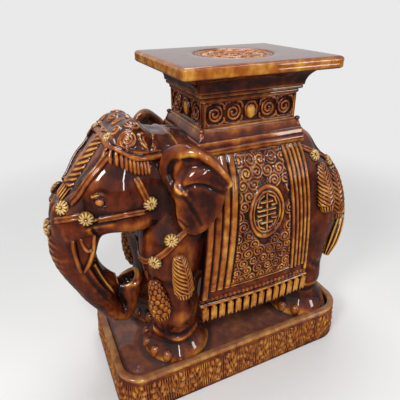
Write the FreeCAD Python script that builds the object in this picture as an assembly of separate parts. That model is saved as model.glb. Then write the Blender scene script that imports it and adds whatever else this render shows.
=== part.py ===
import FreeCAD, Part
import math
import os

from FreeCAD import Vector

# Elephant plant stand in glazed stoneware: hollow moulded pieces, luted together before glazing.
# The elephant faces -X and its left side is -Y. The origin is the centre of the plinth's underside.

# Plinth; its length and width follow from where the feet stand
plinth_height = 51.0
foot_end_margin = 3.0
foot_side_margin = 1.0
plinth_corner_radius = 38.0
plinth_taper = 4.0
plinth_wall_thickness = 9.0
rim_height = 6.0
rim_overhang = 1.2
rim_fillet = 2.4
deck_thickness = 9.0
deck_recess = 7.0
motif_width = 21.0
motif_height = 38.0
motif_relief = 1.8
motif_bedding = 0.6
motif_pitch = 26.5
motif_crest_share = 0.62
vent_radius = 9.0

# Clay walls of the hollow pieces, and how far a cutting shape runs past what it cuts
clay_wall = 8.0
overrun = 6.0

# Torso
torso_length = 290.0
torso_width = 156.0
torso_height = 202.0
belly_height = 128.0
chest_reach = 118.0

# Legs
leg_reach_up_side = 104.0
leg_radius = 32.0
front_leg_setback = 83.0
rear_leg_setback = 120.0
front_leg_spread = 38.0
rear_leg_spread = 40.0
toenail_radius = 8.5
toenail_rise = 7.0
toenail_count = 5
toenail_spacing_angle = 27.0

# Head, jaw and eyes
head_length = 122.0
head_width = 116.0
head_height = 143.0
head_rise = 94.0
neck_overlap = 30.0
forehead_cleft = 5.0
jaw_length = 66.0
jaw_width = 76.0
jaw_height = 58.0
jaw_drop = 18.0
eye_radius = 8.0
eye_relief = 3.5

# Trunk and tusks
trunk_length = 78.0
trunk_clearance = 47.0
trunk_width = 62.0
trunk_depth = 58.0
tusk_length = 62.0
tusk_radius = 10.0

# Ears
ear_length = 84.0
ear_height = 116.0
ear_thickness = 16.0
ear_flare = 42.0
ear_rim_radius = 7.5

# Tail
tail_length = 158.0
tail_radius = 8.0
tail_swing = 42.0

# Saddle cloth
cloth_top_length = 118.0
cloth_hem_length = 146.0
cloth_top_setback = 14.0
cloth_hem_setback = 21.0
cloth_stand_off = 7.0
cloth_thickness = 9.0
cloth_hem_rise = 4.0
cloth_top_drop = 8.0
cloth_rib_width = 6.0
cloth_rib_gap = 2.0
cloth_rib_relief = 1.6
cloth_rib_count = 3
fringe_length = 26.0
fringe_strand_radius = 3.0
fringe_strand_gap = 0.4
roundel_width = 46.0
roundel_height = 60.0
roundel_band = 5.0
roundel_relief = 2.2

# Pedestal
pedestal_setback = 16.0
pedestal_foot_height = 25.0
pedestal_foot_sink = 5.0
pedestal_foot_step = 12.0
pedestal_foot_flare = 7.0
pedestal_foot_ledge = 2.0
pedestal_foot_bedding = 40.0
waist_length = 121.0
waist_width = 92.0
waist_height = 29.0
waist_post_width = 5.0
waist_panel_recess = 1.6
knob_radius = 4.5
scroll_roll_radius = 2.2
scroll_gap = 0.8
scroll_count = 5
scroll_end_count = 3
cove_spread = 18.5
cove_height = 28.0
cove_fillet_height = 4.5
cove_fillet_step = 3.0
plate_length = 186.0
plate_width = 155.0
plate_thickness = 13.0
plate_edge_radius = 3.0
pedestal_corner_radius = 3.0
medallion_radius = 47.0
medallion_recess = 3.0
medallion_gap = 2.5
medallion_roll_radius = 1.6

# Harness
strap_width = 7.0
strap_thickness = 2.6
rosette_radius = 9.0
rosette_relief = 5.5
small_rosette_radius = 7.0
flower_radius = 11.0
flower_relief = 6.0
cap_thickness = 3.2
cap_fringe_length = 13.0
cap_fringe_gap = 1.0
cap_fringe_pitch = 5.6
forehead_tassel_radius = 10.0
breast_tassel_radius = 9.0
rump_tassel_radius = 10.5

# Stations of the lofted forms, as shares of the sizes above
ring_count = 16
sliver_share = 0.05
sphere_like_share = 1.0
torso_fullness_share = 0.64
torso_station_shares = (
    # along the length, half width, top, bottom
    (0.000, 0.24, 0.840, 0.400),
    (0.034, 0.56, 0.985, 0.300),
    (0.114, 0.80, 1.060, 0.190),
    (0.234, 0.94, 1.045, 0.100),
    (0.407, 0.99, 1.000, 0.020),
    (0.545, 1.00, 1.000, 0.000),
    (0.683, 0.98, 0.975, 0.020),
    (0.803, 0.92, 0.890, 0.085),
    (0.907, 0.76, 0.770, 0.170),
    (0.976, 0.50, 0.630, 0.257),
    (1.000, 0.24, 0.520, 0.347),
)
head_station_shares = (
    (0.000, 0.86, 0.86, 0.16),
    (0.140, 0.96, 0.95, 0.06),
    (0.303, 1.00, 1.00, 0.00),
    (0.467, 0.96, 0.955, 0.00),
    (0.631, 0.83, 0.850, 0.02),
    (0.795, 0.66, 0.650, 0.05),
    (0.918, 0.48, 0.465, 0.08),
    (1.000, 0.24, 0.300, 0.12),
)
jaw_station_shares = (
    (0.00, 0.50, 0.90, 0.30),
    (0.20, 0.90, 1.00, 0.08),
    (0.50, 1.00, 1.00, 0.00),
    (0.80, 0.84, 0.98, 0.10),
    (1.00, 0.44, 0.90, 0.36),
)
leg_station_shares = (
    # height, radius
    (0.000, 1.26),
    (0.045, 1.28),
    (0.095, 1.19),
    (0.150, 1.05),
    (0.230, 0.97),
    (0.380, 0.97),
    (0.550, 1.04),
    (0.700, 1.14),
    (0.830, 1.21),
    (0.930, 1.16),
    (1.000, 0.98),
    (1.050, 0.62),
    (1.070, 0.30),
)
trunk_station_shares = (
    # backward from the root, down from the root, radius
    (0.000, 0.000, 1.08),
    (-0.155, 0.160, 1.00),
    (-0.230, 0.330, 0.92),
    (-0.215, 0.500, 0.84),
    (-0.115, 0.670, 0.76),
    (0.040, 0.830, 0.69),
    (0.240, 0.965, 0.62),
    (0.460, 0.995, 0.57),
    (0.640, 0.920, 0.53),
    (0.715, 0.790, 0.49),
    (0.725, 0.660, 0.53),
)
ear_station_shares = (
    # along the length, outward, half thickness, top, bottom
    (0.00, 0.00, 0.50, 0.76, 0.52),
    (0.08, 0.12, 0.80, 0.90, 0.34),
    (0.22, 0.34, 1.00, 0.985, 0.10),
    (0.42, 0.62, 1.00, 1.00, 0.00),
    (0.62, 0.84, 1.00, 0.92, 0.05),
    (0.80, 0.95, 0.90, 0.80, 0.20),
    (0.93, 1.00, 0.60, 0.69, 0.38),
    (1.00, 1.01, 0.30, 0.62, 0.52),
)
ear_rim_shares = (
    # along, outward, height
    (0.36, 0.66, 0.46),
    (0.18, 0.42, 0.52),
    (0.06, 0.20, 0.68),
    (0.10, 0.24, 0.86),
    (0.28, 0.48, 0.96),
    (0.50, 0.74, 0.96),
    (0.72, 0.94, 0.84),
    (0.90, 1.04, 0.70),
    (1.00, 1.08, 0.60),
)
tusk_station_shares = ((0.00, 0.75), (0.30, 1.00), (0.65, 0.85), (1.00, 0.45))
tail_station_shares = (
    # backward, sideways, down, radius
    (0.00, 0.00, 0.00, 1.20),
    (0.15, 0.10, 0.17, 1.00),
    (0.21, 0.36, 0.42, 0.80),
    (0.205, 0.68, 0.64, 0.85),
    (0.16, 0.90, 0.84, 1.25),
    (0.12, 1.00, 1.00, 0.55),
)
cloth_bow_shares = ((0.00, 0.955), (0.22, 0.985), (0.50, 1.00), (0.78, 0.99), (1.00, 0.965))
cloth_profile_shares = (
    # outward, up from the hem
    (0.66, 1.00),
    (0.83, 0.88),
    (0.95, 0.70),
    (1.00, 0.48),
    (1.00, 0.24),
    (0.98, 0.00),
)
# Places on the head: along, outward, up
trunk_root_shares = (0.72, 0.0, 0.28)
tusk_root_shares = (0.77, 0.225, 0.05)
jaw_root_share = 0.08
ear_root_shares = (0.213, 0.422, 0.084)
cap_span_shares = (0.10, 0.51)
cap_hem_share = 0.755
# Places on the body: along, outward, up
tail_root_shares = (0.917, 0.0, 0.822)
breast_strap_share = 0.366
roundel_place_shares = (0.53, 0.62)
# Straps of the bridle, each from one place to the next on the head's side: along the head, up
brow_strap_shares = ((0.53, 0.76), (0.85, 0.40))
cheek_strap_shares = ((0.27, 0.655), (0.21, 0.42))
jaw_strap_shares = ((0.20, 0.42), (0.70, 0.34))
nose_strap_shares = ((0.72, 0.36), (0.98, 0.30))
crupper_strap_shares = ((0.69, 0.33), (0.90, 0.27))
# Places on the head or the body: along, outward, up, degrees that it faces forward, degrees upward
nose_rosette_shares = (0.852, 0.172, 0.40, 35.0, 10.0)
cheek_rosette_shares = (0.720, 0.345, 0.36, 20.0, -5.0)
ear_rosette_shares = (0.197, 0.517, 0.42, 0.0, 0.0)
cap_rosette_shares = (0.434, 0.216, 0.89, 10.0, 55.0)
eye_shares = (0.600, 0.388, 0.455, 15.0, 5.0)
breast_rosette_shares = ((0.078, 0.480, 0.545, 15.0, 10.0), (0.017, 0.417, 0.406, 45.0, 0.0))
crupper_rosette_shares = ((0.769, 0.365, 0.851, 0.0, 40.0), (0.893, 0.288, 0.767, -25.0, 35.0))
# Tops and tips of the tassels: along, outward, up
breast_tassel_shares = (
    ((0.100, 0.487, 0.446), (0.124, 0.474, 0.119)),
    ((0.028, 0.391, 0.218), (0.048, 0.385, -0.079)),
)
rump_tassel_shares = (
    ((0.779, 0.410, 0.772), (0.810, 0.487, 0.287)),
    ((0.917, 0.295, 0.703), (0.931, 0.410, 0.188)),
)
forehead_tassel_shares = ((0.51, 0.0, 0.92), (0.93, 0.0, 0.46))
flower_shares = ((0.08, 1.0), (0.185, 0.75))
tassel_station_shares = (
    # down, radius
    (0.00, 0.35),
    (0.12, 0.80),
    (0.30, 0.92),
    (0.60, 1.00),
    (0.85, 0.85),
    (1.00, 0.35),
)


# Sizes and heights that follow from those above
foot_radius = leg_radius * leg_station_shares[1][1]
plinth_border = plinth_taper + plinth_wall_thickness + foot_radius
plinth_length = 2.0 * (rear_leg_setback + foot_end_margin + plinth_border)
plinth_width = 2.0 * (rear_leg_spread + foot_side_margin + plinth_border)
deck_height = plinth_height + rim_height - deck_recess
leg_height = belly_height + leg_reach_up_side - deck_height
back_height = belly_height + torso_height
head_base_height = belly_height + head_rise
neck_reach = chest_reach - neck_overlap
cloth_spread = torso_width / 2.0 + cloth_stand_off
cloth_hem_height = belly_height + cloth_hem_rise
cloth_height = back_height - cloth_top_drop - cloth_hem_height
pedestal_foot_base_height = back_height - pedestal_foot_sink
waist_base_height = pedestal_foot_base_height + pedestal_foot_height
cove_base_height = waist_base_height + waist_height
plate_base_height = cove_base_height + cove_height
plate_top_height = plate_base_height + plate_thickness
along_x = Vector(1, 0, 0)
along_y = Vector(0, 1, 0)
along_z = Vector(0, 0, 1)


def closed_spline(points):
    # A closed smooth wire, evenly numbered so that lofts through several stay untwisted
    curve = Part.BSplineCurve()
    marks = [float(index) for index in range(len(points) + 1)]
    curve.interpolate(Points=points, PeriodicFlag=True, Parameters=marks)
    return Part.Wire([curve.toShape()])


def ring(centre, across, upward, half_width, reach, fullness=1.0, cleft=0.0):
    # One cross-section: a rounded oval, with a cleft at its top if asked
    points = []
    for step in range(ring_count):
        angle = 2.0 * math.pi * step / ring_count
        cosine = math.cos(angle)
        sine = math.sin(angle)
        side = half_width * math.copysign(abs(cosine) ** fullness, cosine)
        rise = reach * math.copysign(abs(sine) ** fullness, sine)
        if step * 4 == ring_count:
            rise -= cleft
        points.append(centre + across * side + upward * rise)
    return closed_spline(points)


def loft(wires, ruled=False):
    # A closed solid through the wires
    solid = Part.makeLoft(wires, True, ruled)
    if solid.Volume < 0:
        solid.reverse()
    return solid


def rod(places):
    # A round solid through places given as centre and radius, each ring square to the line
    wires = []
    for index, (centre, radius) in enumerate(places):
        before = places[max(index - 1, 0)][0]
        after = places[min(index + 1, len(places) - 1)][0]
        forward = (after - before).normalize()
        helper = along_x if abs(forward.z) > abs(forward.x) else along_z
        across = forward.cross(helper).normalize()
        upward = across.cross(forward).normalize()
        wires.append(ring(centre, across, upward, radius, radius))
    return loft(wires)


def egg(front, toward, length, width, height, base, shares, grow=0.0, fullness=1.0, cleft=0.0):
    # A form lofted along X from front, toward +1 or -1; grow swells or thins it all over
    wires = []
    for along, half_width, top, bottom in shares:
        x = front + toward * (along * length + grow * (2.0 * along - 1.0))
        high = base + top * height + grow
        low = base + bottom * height - grow
        middle = Vector(x, 0, (high + low) / 2.0)
        half = half_width * width / 2.0 + grow
        wires.append(ring(middle, along_y, along_z, half, (high - low) / 2.0, fullness, cleft))
    return loft(wires)


def torso_form(grow=0.0):
    return egg(-chest_reach, 1, torso_length, torso_width, torso_height, belly_height,
               torso_station_shares, grow, torso_fullness_share)


def head_form(grow=0.0):
    return egg(-neck_reach, -1, head_length, head_width, head_height, head_base_height,
               head_station_shares, grow, sphere_like_share, forehead_cleft)


def leg_centre(front, side):
    # Where a leg's axis meets the deck; side is -1 on the elephant's left
    if front:
        return Vector(-front_leg_setback, side * front_leg_spread, deck_height)
    return Vector(rear_leg_setback, side * rear_leg_spread, deck_height)


def leg_form(front, side, grow=0.0):
    # A column that flares at the foot and swells into the shoulder or thigh
    foot = leg_centre(front, side)
    wires = []
    for height, radius in leg_station_shares:
        stretch = leg_height * height
        if grow and height == 0.0:
            stretch = grow
        size = radius * leg_radius + grow
        if size > clay_wall:
            wires.append(ring(foot + Vector(0, 0, stretch), along_x, along_y, size, size))
    return loft(wires)


def trunk_form(grow=0.0, closed_ends=0):
    # Rings square to the trunk's line, from inside the face to the raised tip
    root = head_place(*trunk_root_shares)
    trunk_drop = root.z - deck_height - trunk_clearance
    places = []
    for back, down, radius in trunk_station_shares:
        places.append((root + Vector(back * trunk_length, 0, -down * trunk_drop), radius))
    wires = []
    for index, (centre, radius) in enumerate(places):
        before = places[max(index - 1, 0)][0]
        after = places[min(index + 1, len(places) - 1)][0]
        forward = (after - before).normalize()
        outward = Vector(-forward.z, 0, forward.x)
        depth = radius * trunk_depth / 2.0 + grow
        width = radius * trunk_width / 2.0 + grow
        wires.append(ring(centre, along_y, outward, width, depth))
    return loft(wires[:len(wires) - closed_ends])


def rounded_rectangle(length, width, radius, z, centre_x=0.0):
    # A level rectangle with round corners
    arcs = []
    for index, (sx, sy) in enumerate(((1, 1), (-1, 1), (-1, -1), (1, -1))):
        middle = Vector(centre_x + sx * (length / 2.0 - radius), sy * (width / 2.0 - radius), z)
        points = []
        for part in range(3):
            turn = math.radians(90.0 * index + 45.0 * part)
            points.append(middle + Vector(radius * math.cos(turn), radius * math.sin(turn), 0))
        arcs.append(points)
    edges = []
    for index, points in enumerate(arcs):
        following = arcs[(index + 1) % len(arcs)]
        edges.append(Part.Arc(points[0], points[1], points[2]).toShape())
        edges.append(Part.makeLine(points[2], following[0]))
    return Part.Wire(edges)


def slab(length, width, radius, low, high, centre_x=0.0):
    # A level slab with round corners
    face = Part.Face(rounded_rectangle(length, width, radius, low, centre_x))
    return face.extrude(Vector(0, 0, high - low))


def prism(corners, direction):
    # A straight prism from a polygon
    return Part.Face(Part.makePolygon(list(corners) + [corners[0]])).extrude(direction)


def strip(start, end, width, direction):
    # A prism as wide as a strap, with its middle line from start to end, that runs along direction
    forward = (end - start).normalize()
    across = forward.cross(Vector(direction).normalize()) * (width / 2.0)
    corners = (start + across, end + across, end - across, start - across)
    return prism(corners, direction)


def box(low, high):
    # An upright box between two corners
    size = high - low
    return Part.makeBox(size.x, size.y, size.z, low)


def upright_cylinder(x, y, low, high, radius):
    return Part.makeCylinder(radius, high - low, Vector(x, y, low))


def mirrored(shape):
    # The same shape on the elephant's other side
    return shape.mirror(Vector(0, 0, 0), along_y)


def group(shapes):
    # All the solids of several shapes, side by side
    return Part.makeCompound([solid for shape in shapes for solid in shape.Solids])


def cut_all(shape, tools):
    # A shape less each of the larger pieces beside it
    near = [tool for tool in tools if shape.BoundBox.intersect(tool.BoundBox)]
    return shape.cut(near) if near else shape


def without_slivers(shape):
    # The solids of a cut piece, less those under a share of the largest
    most = max(solid.Volume for solid in shape.Solids)
    return group([solid for solid in shape.Solids if solid.Volume > most * sliver_share])


def largest(shape):
    # The main solid of a cut piece, without slivers
    return max(shape.Solids, key=lambda solid: solid.Volume)


def save(name, shape):
    # Writes one piece
    kept = group([shape])
    kept.exportStep("parts/" + name + ".step")
    print(name, len(kept.Solids), round(kept.Volume / 1000.0, 1), kept.isValid(), flush=True)


def seat(host, start, direction):
    # The first point of the host that a straight line from start meets
    line = Part.makeLine(start, start + Vector(direction).normalize() * torso_length)
    inside = host.common(line)
    return min([vertex.Point for vertex in inside.Vertexes], key=lambda point: (point - start).Length)


def head_place(along, outward, up):
    # A place by shares of the head's sizes, on its left side
    reach = Vector(along * head_length, outward * head_width, -up * head_height)
    return Vector(-neck_reach, 0, head_base_height) - reach


def body_place(along, outward, up):
    # A place by shares of the torso's sizes, on its left side
    reach = Vector(along * torso_length, -outward * torso_width, up * torso_height)
    return Vector(-chest_reach, 0, belly_height) + reach


def dome(hosts, place, forward, upward, radius, relief):
    # A round boss where a line through a place, facing forward and upward by degrees, meets the hosts
    ahead = math.radians(forward)
    above = math.radians(upward)
    level = math.cos(above)
    outward = Vector(-math.sin(ahead) * level, -math.cos(ahead) * level, math.sin(above))
    point = seat(group(hosts), place + outward * head_width, outward * -1.0)
    ball = (radius * radius + relief * relief) / (2.0 * relief)
    return largest(cut_all(Part.makeSphere(ball, point + outward * (relief - ball)), hosts))


def tassel(top, bottom, radius):
    # A drop of clay that hangs from top to bottom
    places = []
    for down, size in tassel_station_shares:
        places.append((top + (bottom - top) * down, radius * size))
    return rod(places)


# Plinth
def plinth_inside(low, high):
    inset = 2.0 * (plinth_taper + plinth_wall_thickness)
    return slab(plinth_length - inset, plinth_width - inset,
                plinth_corner_radius - plinth_wall_thickness, low, high)


def plinth_shell():
    narrow = 2.0 * plinth_taper
    bottom = rounded_rectangle(plinth_length, plinth_width, plinth_corner_radius, 0.0)
    top = rounded_rectangle(plinth_length - narrow, plinth_width - narrow,
                            plinth_corner_radius - plinth_taper, plinth_height)
    return loft([bottom, top], True)


def plinth_rim():
    narrow = 2.0 * (plinth_taper - rim_overhang)
    top = plinth_height + rim_height
    block = slab(plinth_length - narrow, plinth_width - narrow,
                 plinth_corner_radius - plinth_taper + rim_overhang, plinth_height, top)
    block = block.cut(plinth_inside(plinth_height - overrun, top + overrun))
    upper = [edge for edge in block.Edges if edge.BoundBox.ZMin > top - rim_height / 2.0]
    return block.makeFillet(rim_fillet, upper)


def plinth_deck():
    deck = plinth_inside(deck_height - deck_thickness, deck_height)
    for front in (True, False):
        for side in (-1, 1):
            foot = leg_centre(front, side)
            deck = deck.cut(upright_cylinder(foot.x, foot.y, deck_height - deck_thickness - overrun,
                                             deck_height + overrun, vent_radius))
    return deck


def motif(place, outward):
    # One leaf-shaped sprig, bedded in the wall and tapered to its crest
    tilt = math.atan2(plinth_taper, plinth_height)
    normal = outward * math.cos(tilt) + along_z * math.sin(tilt)
    across = along_z.cross(outward).normalize()
    upward = normal.cross(across).normalize()
    back = place - normal * motif_bedding
    crest = place + normal * motif_relief
    half_width = motif_width / 2.0
    half_height = motif_height / 2.0
    wide = ring(back, across, upward, half_width, half_height)
    narrow = ring(crest, across, upward, half_width * motif_crest_share, half_height * motif_crest_share)
    return loft([wide, narrow], True)


def plinth_frieze(shell):
    # Motifs at an even pitch round the wall, at half its height
    half_taper = plinth_taper / 2.0
    middle = rounded_rectangle(plinth_length - 2.0 * half_taper, plinth_width - 2.0 * half_taper,
                               plinth_corner_radius - half_taper, plinth_height / 2.0)
    count = round(middle.Length / motif_pitch)
    places = middle.discretize(count + 1)[:-1]
    motifs = []
    for index, place in enumerate(places):
        forward = (places[(index + 1) % count] - places[index - 1]).normalize()
        outward = forward.cross(along_z)
        if outward.dot(place) < 0:
            outward = outward * -1.0
        motifs.append(motif(place, outward).cut(shell))
    return group(motifs)


# Elephant
def vents():
    # Kiln vents between the hollows: torso to legs, torso to head, and torso to pedestal
    middle_height = belly_height + torso_height / 2.0
    shapes = []
    for front in (True, False):
        for side in (-1, 1):
            foot = leg_centre(front, side)
            shapes.append(upright_cylinder(foot.x, foot.y, belly_height - overrun, middle_height,
                                           vent_radius))
    neck_height = head_base_height + head_height / 2.0
    start = Vector(-neck_reach * 1.5, 0, neck_height)
    shapes.append(Part.makeCylinder(vent_radius, neck_reach, start, along_x))
    shapes.append(upright_cylinder(pedestal_setback, 0, middle_height, waist_base_height, vent_radius))
    return shapes


def jaw_form():
    return egg(-neck_reach - jaw_root_share * head_length, -1, jaw_length, jaw_width, jaw_height,
               head_base_height - jaw_drop, jaw_station_shares)


def tusk():
    places = []
    for down, radius in tusk_station_shares:
        places.append((head_place(*tusk_root_shares) - along_z * down * tusk_length, radius * tusk_radius))
    return rod(places)


def ear_place(along, outward, up):
    return head_place(*ear_root_shares) + Vector(along * ear_length, -outward * ear_flare, up * ear_height)


def ear():
    # A leaf of clay that flares back and out, with a thick roll along its front and top
    wires = []
    for along, outward, thickness, top, bottom in ear_station_shares:
        middle = ear_place(along, outward, (top + bottom) / 2.0)
        reach = (top - bottom) * ear_height / 2.0
        wires.append(ring(middle, along_y, along_z, thickness * ear_thickness / 2.0, reach))
    return loft(wires).fuse(rim_roll([(ear_place(*place), ear_rim_radius) for place in ear_rim_shares]))


def rim_roll(places):
    # A roll whose rings stay square to a line that turns through every direction in one plane
    wires = []
    for index, (centre, radius) in enumerate(places):
        before = places[max(index - 1, 0)][0]
        after = places[min(index + 1, len(places) - 1)][0]
        forward = (after - before).normalize()
        across = forward.cross(along_y).normalize()
        upward = across.cross(forward).normalize()
        wires.append(ring(centre, across, upward, radius, radius))
    return loft(wires)


def tail():
    places = []
    for back, sideways, down, radius in tail_station_shares:
        reach = Vector(back * tail_length, -sideways * tail_swing, -down * tail_length)
        places.append((body_place(*tail_root_shares) + reach, radius * tail_radius))
    return rod(places)


def toenails(front, leg):
    # Nails round the front of one left foot, each flat where it meets the deck
    nails = []
    foot = leg_centre(front, -1)
    for index in range(toenail_count):
        turn = math.radians(180.0 + toenail_spacing_angle * (index - (toenail_count - 1) / 2.0))
        reach = Vector(math.cos(turn), math.sin(turn), 0) * (foot_radius - toenail_radius / 2.0)
        place = foot + reach + Vector(0, 0, toenail_rise)
        reach_across = Vector(toenail_radius, toenail_radius, 0) * 2.0
        ground = box(place - reach_across - along_z * toenail_radius * 2.0,
                     Vector(place.x, place.y, deck_height) + reach_across)
        nail = Part.makeSphere(toenail_radius, place).cut(ground)
        nails.append(cut_all(nail, [leg] + nails[-1:]))
    return group(nails)


# Saddle cloth
def cloth_form(grow=0.0):
    # A slab that hangs from the back, lofted along X through the same profile at each station
    wires = []
    length = cloth_hem_length + 2.0 * overrun
    for along, bow in cloth_bow_shares:
        x = cloth_hem_setback - length / 2.0 + along * length
        outer = []
        inner = []
        for outward, up in cloth_profile_shares:
            y = outward * cloth_spread * bow
            z = cloth_hem_height + up * cloth_height
            outer.append(Vector(x, -y - grow, z))
            inner.append(Vector(x, cloth_thickness - y, z - cloth_thickness * max(up - outward, 0.0)))
        skin = Part.BSplineCurve()
        skin.interpolate(outer)
        lining = Part.BSplineCurve()
        lining.interpolate(list(reversed(inner)))
        edges = [skin.toShape(), Part.makeLine(outer[-1], inner[-1]), lining.toShape(),
                 Part.makeLine(inner[0], outer[0])]
        wires.append(Part.Wire(edges))
    return loft(wires)


def cloth_outline(inset=0.0):
    # The cloth's outline from the side: it widens towards the hem
    top = cloth_hem_height + cloth_height + overrun
    low = cloth_hem_height + inset
    corners = []
    edges = ((cloth_top_setback, cloth_top_length, top), (cloth_hem_setback, cloth_hem_length, low))
    for setback, length, z in edges:
        half = length / 2.0 - inset
        row = [Vector(setback - half, 0, z), Vector(setback + half, 0, z)]
        corners += row if not corners else list(reversed(row))
    return prism(corners, Vector(0, -torso_width, 0))


def cloth_border(cloth, torso):
    # Rolled ribs down both sides and along the hem
    raised = cloth_form(cloth_rib_relief).cut(torso).cut(cloth)
    ribs = []
    for index in range(cloth_rib_count):
        inset = cloth_rib_gap + index * (cloth_rib_width + cloth_rib_gap)
        frame = cloth_outline(inset).cut(cloth_outline(inset + cloth_rib_width))
        ribs.append(largest(raised.common(frame)))
    return group(ribs)


def cloth_medallion(cloth, torso):
    # A longevity roundel: a band round an oval boss
    raised = cloth_form(roundel_relief).cut(torso).cut(cloth)
    along, up = roundel_place_shares
    centre = Vector(cloth_hem_setback + (along - 0.5) * cloth_hem_length, 0,
                    cloth_hem_height + up * cloth_height)
    tools = []
    for inset in (0.0, roundel_band, 2.0 * roundel_band):
        half_width = roundel_width / 2.0 - inset
        half_height = roundel_height / 2.0 - inset
        wire = ring(centre, along_x, along_z, half_width, half_height)
        tools.append(Part.Face(wire).extrude(Vector(0, -torso_width, 0)))
    band = largest(raised.common(tools[0].cut(tools[1])))
    boss = largest(raised.common(tools[2]))
    return group([band, boss])


def cloth_fringe(neighbours):
    # Strands side by side under the hem
    pitch = 2.0 * fringe_strand_radius + fringe_strand_gap
    count = int(cloth_hem_length / pitch)
    strands = []
    for index in range(count):
        x = cloth_hem_setback + (index - (count - 1) / 2.0) * pitch
        along = (x - cloth_hem_setback) / cloth_hem_length + 0.5
        bow = bow_at(along)
        y = cloth_thickness / 2.0 - cloth_profile_shares[-1][0] * cloth_spread * bow
        top = Vector(x, y, cloth_hem_height)
        strand = Part.makeCone(fringe_strand_radius * 0.8, fringe_strand_radius, fringe_length, top,
                               along_z * -1.0)
        strands.append(cut_all(strand, neighbours))
    return group(strands)


def bow_at(along):
    # How far out the cloth stands at a share of its length
    for (start, low), (end, high) in zip(cloth_bow_shares, cloth_bow_shares[1:]):
        if along <= end:
            return low + (high - low) * (along - start) / (end - start)
    return cloth_bow_shares[-1][1]


# Pedestal
def pedestal_block(length, width, low, high):
    return slab(length, width, pedestal_corner_radius, low, high, pedestal_setback)


def flare(lower_grow, low, upper_grow, high):
    # A four-sided band that widens from one height to the next, measured out from the waist
    wires = []
    for grow, z in ((lower_grow, low), (upper_grow, high)):
        wires.append(rounded_rectangle(waist_length + 2.0 * grow, waist_width + 2.0 * grow,
                                       pedestal_corner_radius, z, pedestal_setback))
    return loft(wires, True)


def pedestal_hollow(low, high):
    return slab(waist_length - 2.0 * (clay_wall + waist_panel_recess),
                waist_width - 2.0 * (clay_wall + waist_panel_recess),
                pedestal_corner_radius, low, high, pedestal_setback)


def pedestal_foot():
    # Two battered bands with a ledge between them, and a bedding ring that reaches down to the back
    base = pedestal_foot_base_height
    step_height = waist_base_height - pedestal_foot_step
    bedding_height = base - pedestal_foot_bedding
    upper = flare(pedestal_foot_flare, step_height, pedestal_foot_ledge, waist_base_height)
    lower = flare(pedestal_foot_flare + pedestal_foot_ledge * 2.0, base,
                  pedestal_foot_flare + pedestal_foot_ledge, step_height)
    bedding = flare(pedestal_foot_flare, bedding_height, pedestal_foot_flare, base)
    hollow = pedestal_hollow(bedding_height - overrun, waist_base_height + overrun)
    return upper.multiFuse([lower, bedding]).cut(hollow)


def pedestal_knobs(foot):
    knobs = []
    for sx in (-1, 1):
        for sy in (-1, 1):
            place = Vector(pedestal_setback + sx * (waist_length / 2.0 + pedestal_foot_ledge),
                           sy * (waist_width / 2.0 + pedestal_foot_ledge), waist_base_height - knob_radius)
            knobs.append(Part.makeSphere(knob_radius, place).cut(foot))
    return group(knobs)


def pedestal_waist():
    # A hollow box whose four panels are sunk between corner posts
    block = pedestal_block(waist_length, waist_width, waist_base_height, cove_base_height)
    block = block.cut(pedestal_hollow(waist_base_height - overrun, cove_base_height + overrun))
    low = waist_base_height + waist_panel_recess
    high = cove_base_height - waist_panel_recess
    half_length = waist_length / 2.0
    half_width = waist_width / 2.0
    for side in (-1, 1):
        outside = Vector(pedestal_setback, side * half_width, 0)
        panel = Vector(half_length - waist_post_width, waist_panel_recess, 0)
        block = block.cut(box(outside - panel + along_z * low, outside + panel + along_z * high))
        outside = Vector(pedestal_setback + side * half_length, 0, 0)
        panel = Vector(waist_panel_recess, half_width - waist_post_width, 0)
        block = block.cut(box(outside - panel + along_z * low, outside + panel + along_z * high))
    return block


def scroll(place, outward, radius):
    # A rolled ring round a bead, half sunk in the panel
    roll = Part.makeTorus(radius, scroll_roll_radius, place, outward)
    bead = Part.makeSphere(radius / 2.0, place - outward * (scroll_roll_radius / 2.0))
    return [roll, bead]


def waist_scrolls(waist):
    # A row of scrolls in each panel
    middle = (waist_base_height + cove_base_height) / 2.0
    panel_height = waist_height - 2.0 * waist_panel_recess
    shapes = []
    for side in (-1, 1):
        rows = ((scroll_count, waist_length, along_y * side, along_x, waist_width),
                (scroll_end_count, waist_width, along_x * side, along_y, waist_length))
        for count, span, outward, across, reach in rows:
            pitch = (span - 2.0 * waist_post_width) / count
            radius = (min(pitch, panel_height) - scroll_gap) / 2.0 - scroll_roll_radius
            panel = Vector(pedestal_setback, 0, middle) + outward * (reach / 2.0 - waist_panel_recess)
            for index in range(count):
                place = panel + across * ((index - (count - 1) / 2.0) * pitch)
                shapes += [piece.cut(waist) for piece in scroll(place, outward, radius)]
    return group(shapes)


def pedestal_cove():
    # Two fillets under a hollow curve that spreads to carry the plate
    first = cove_base_height + cove_fillet_height
    second = first + cove_fillet_height
    steps = [flare(cove_fillet_step / 2.0, cove_base_height, cove_fillet_step / 2.0, first),
             flare(cove_fillet_step * 1.5, first, cove_fillet_step * 1.5, second)]
    start = cove_fillet_step * 2.0
    band_count = 5
    for index in range(band_count):
        below = index / band_count
        above = (index + 1) / band_count
        rise = plate_base_height - second
        low_grow = start + (cove_spread - start) * (1.0 - math.cos(below * math.pi / 2.0))
        high_grow = start + (cove_spread - start) * (1.0 - math.cos(above * math.pi / 2.0))
        steps.append(flare(low_grow, second + rise * math.sin(below * math.pi / 2.0),
                           high_grow, second + rise * math.sin(above * math.pi / 2.0)))
    block = steps[0].multiFuse(steps[1:])
    return block.cut(pedestal_hollow(cove_base_height - overrun, plate_base_height + overrun))


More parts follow.
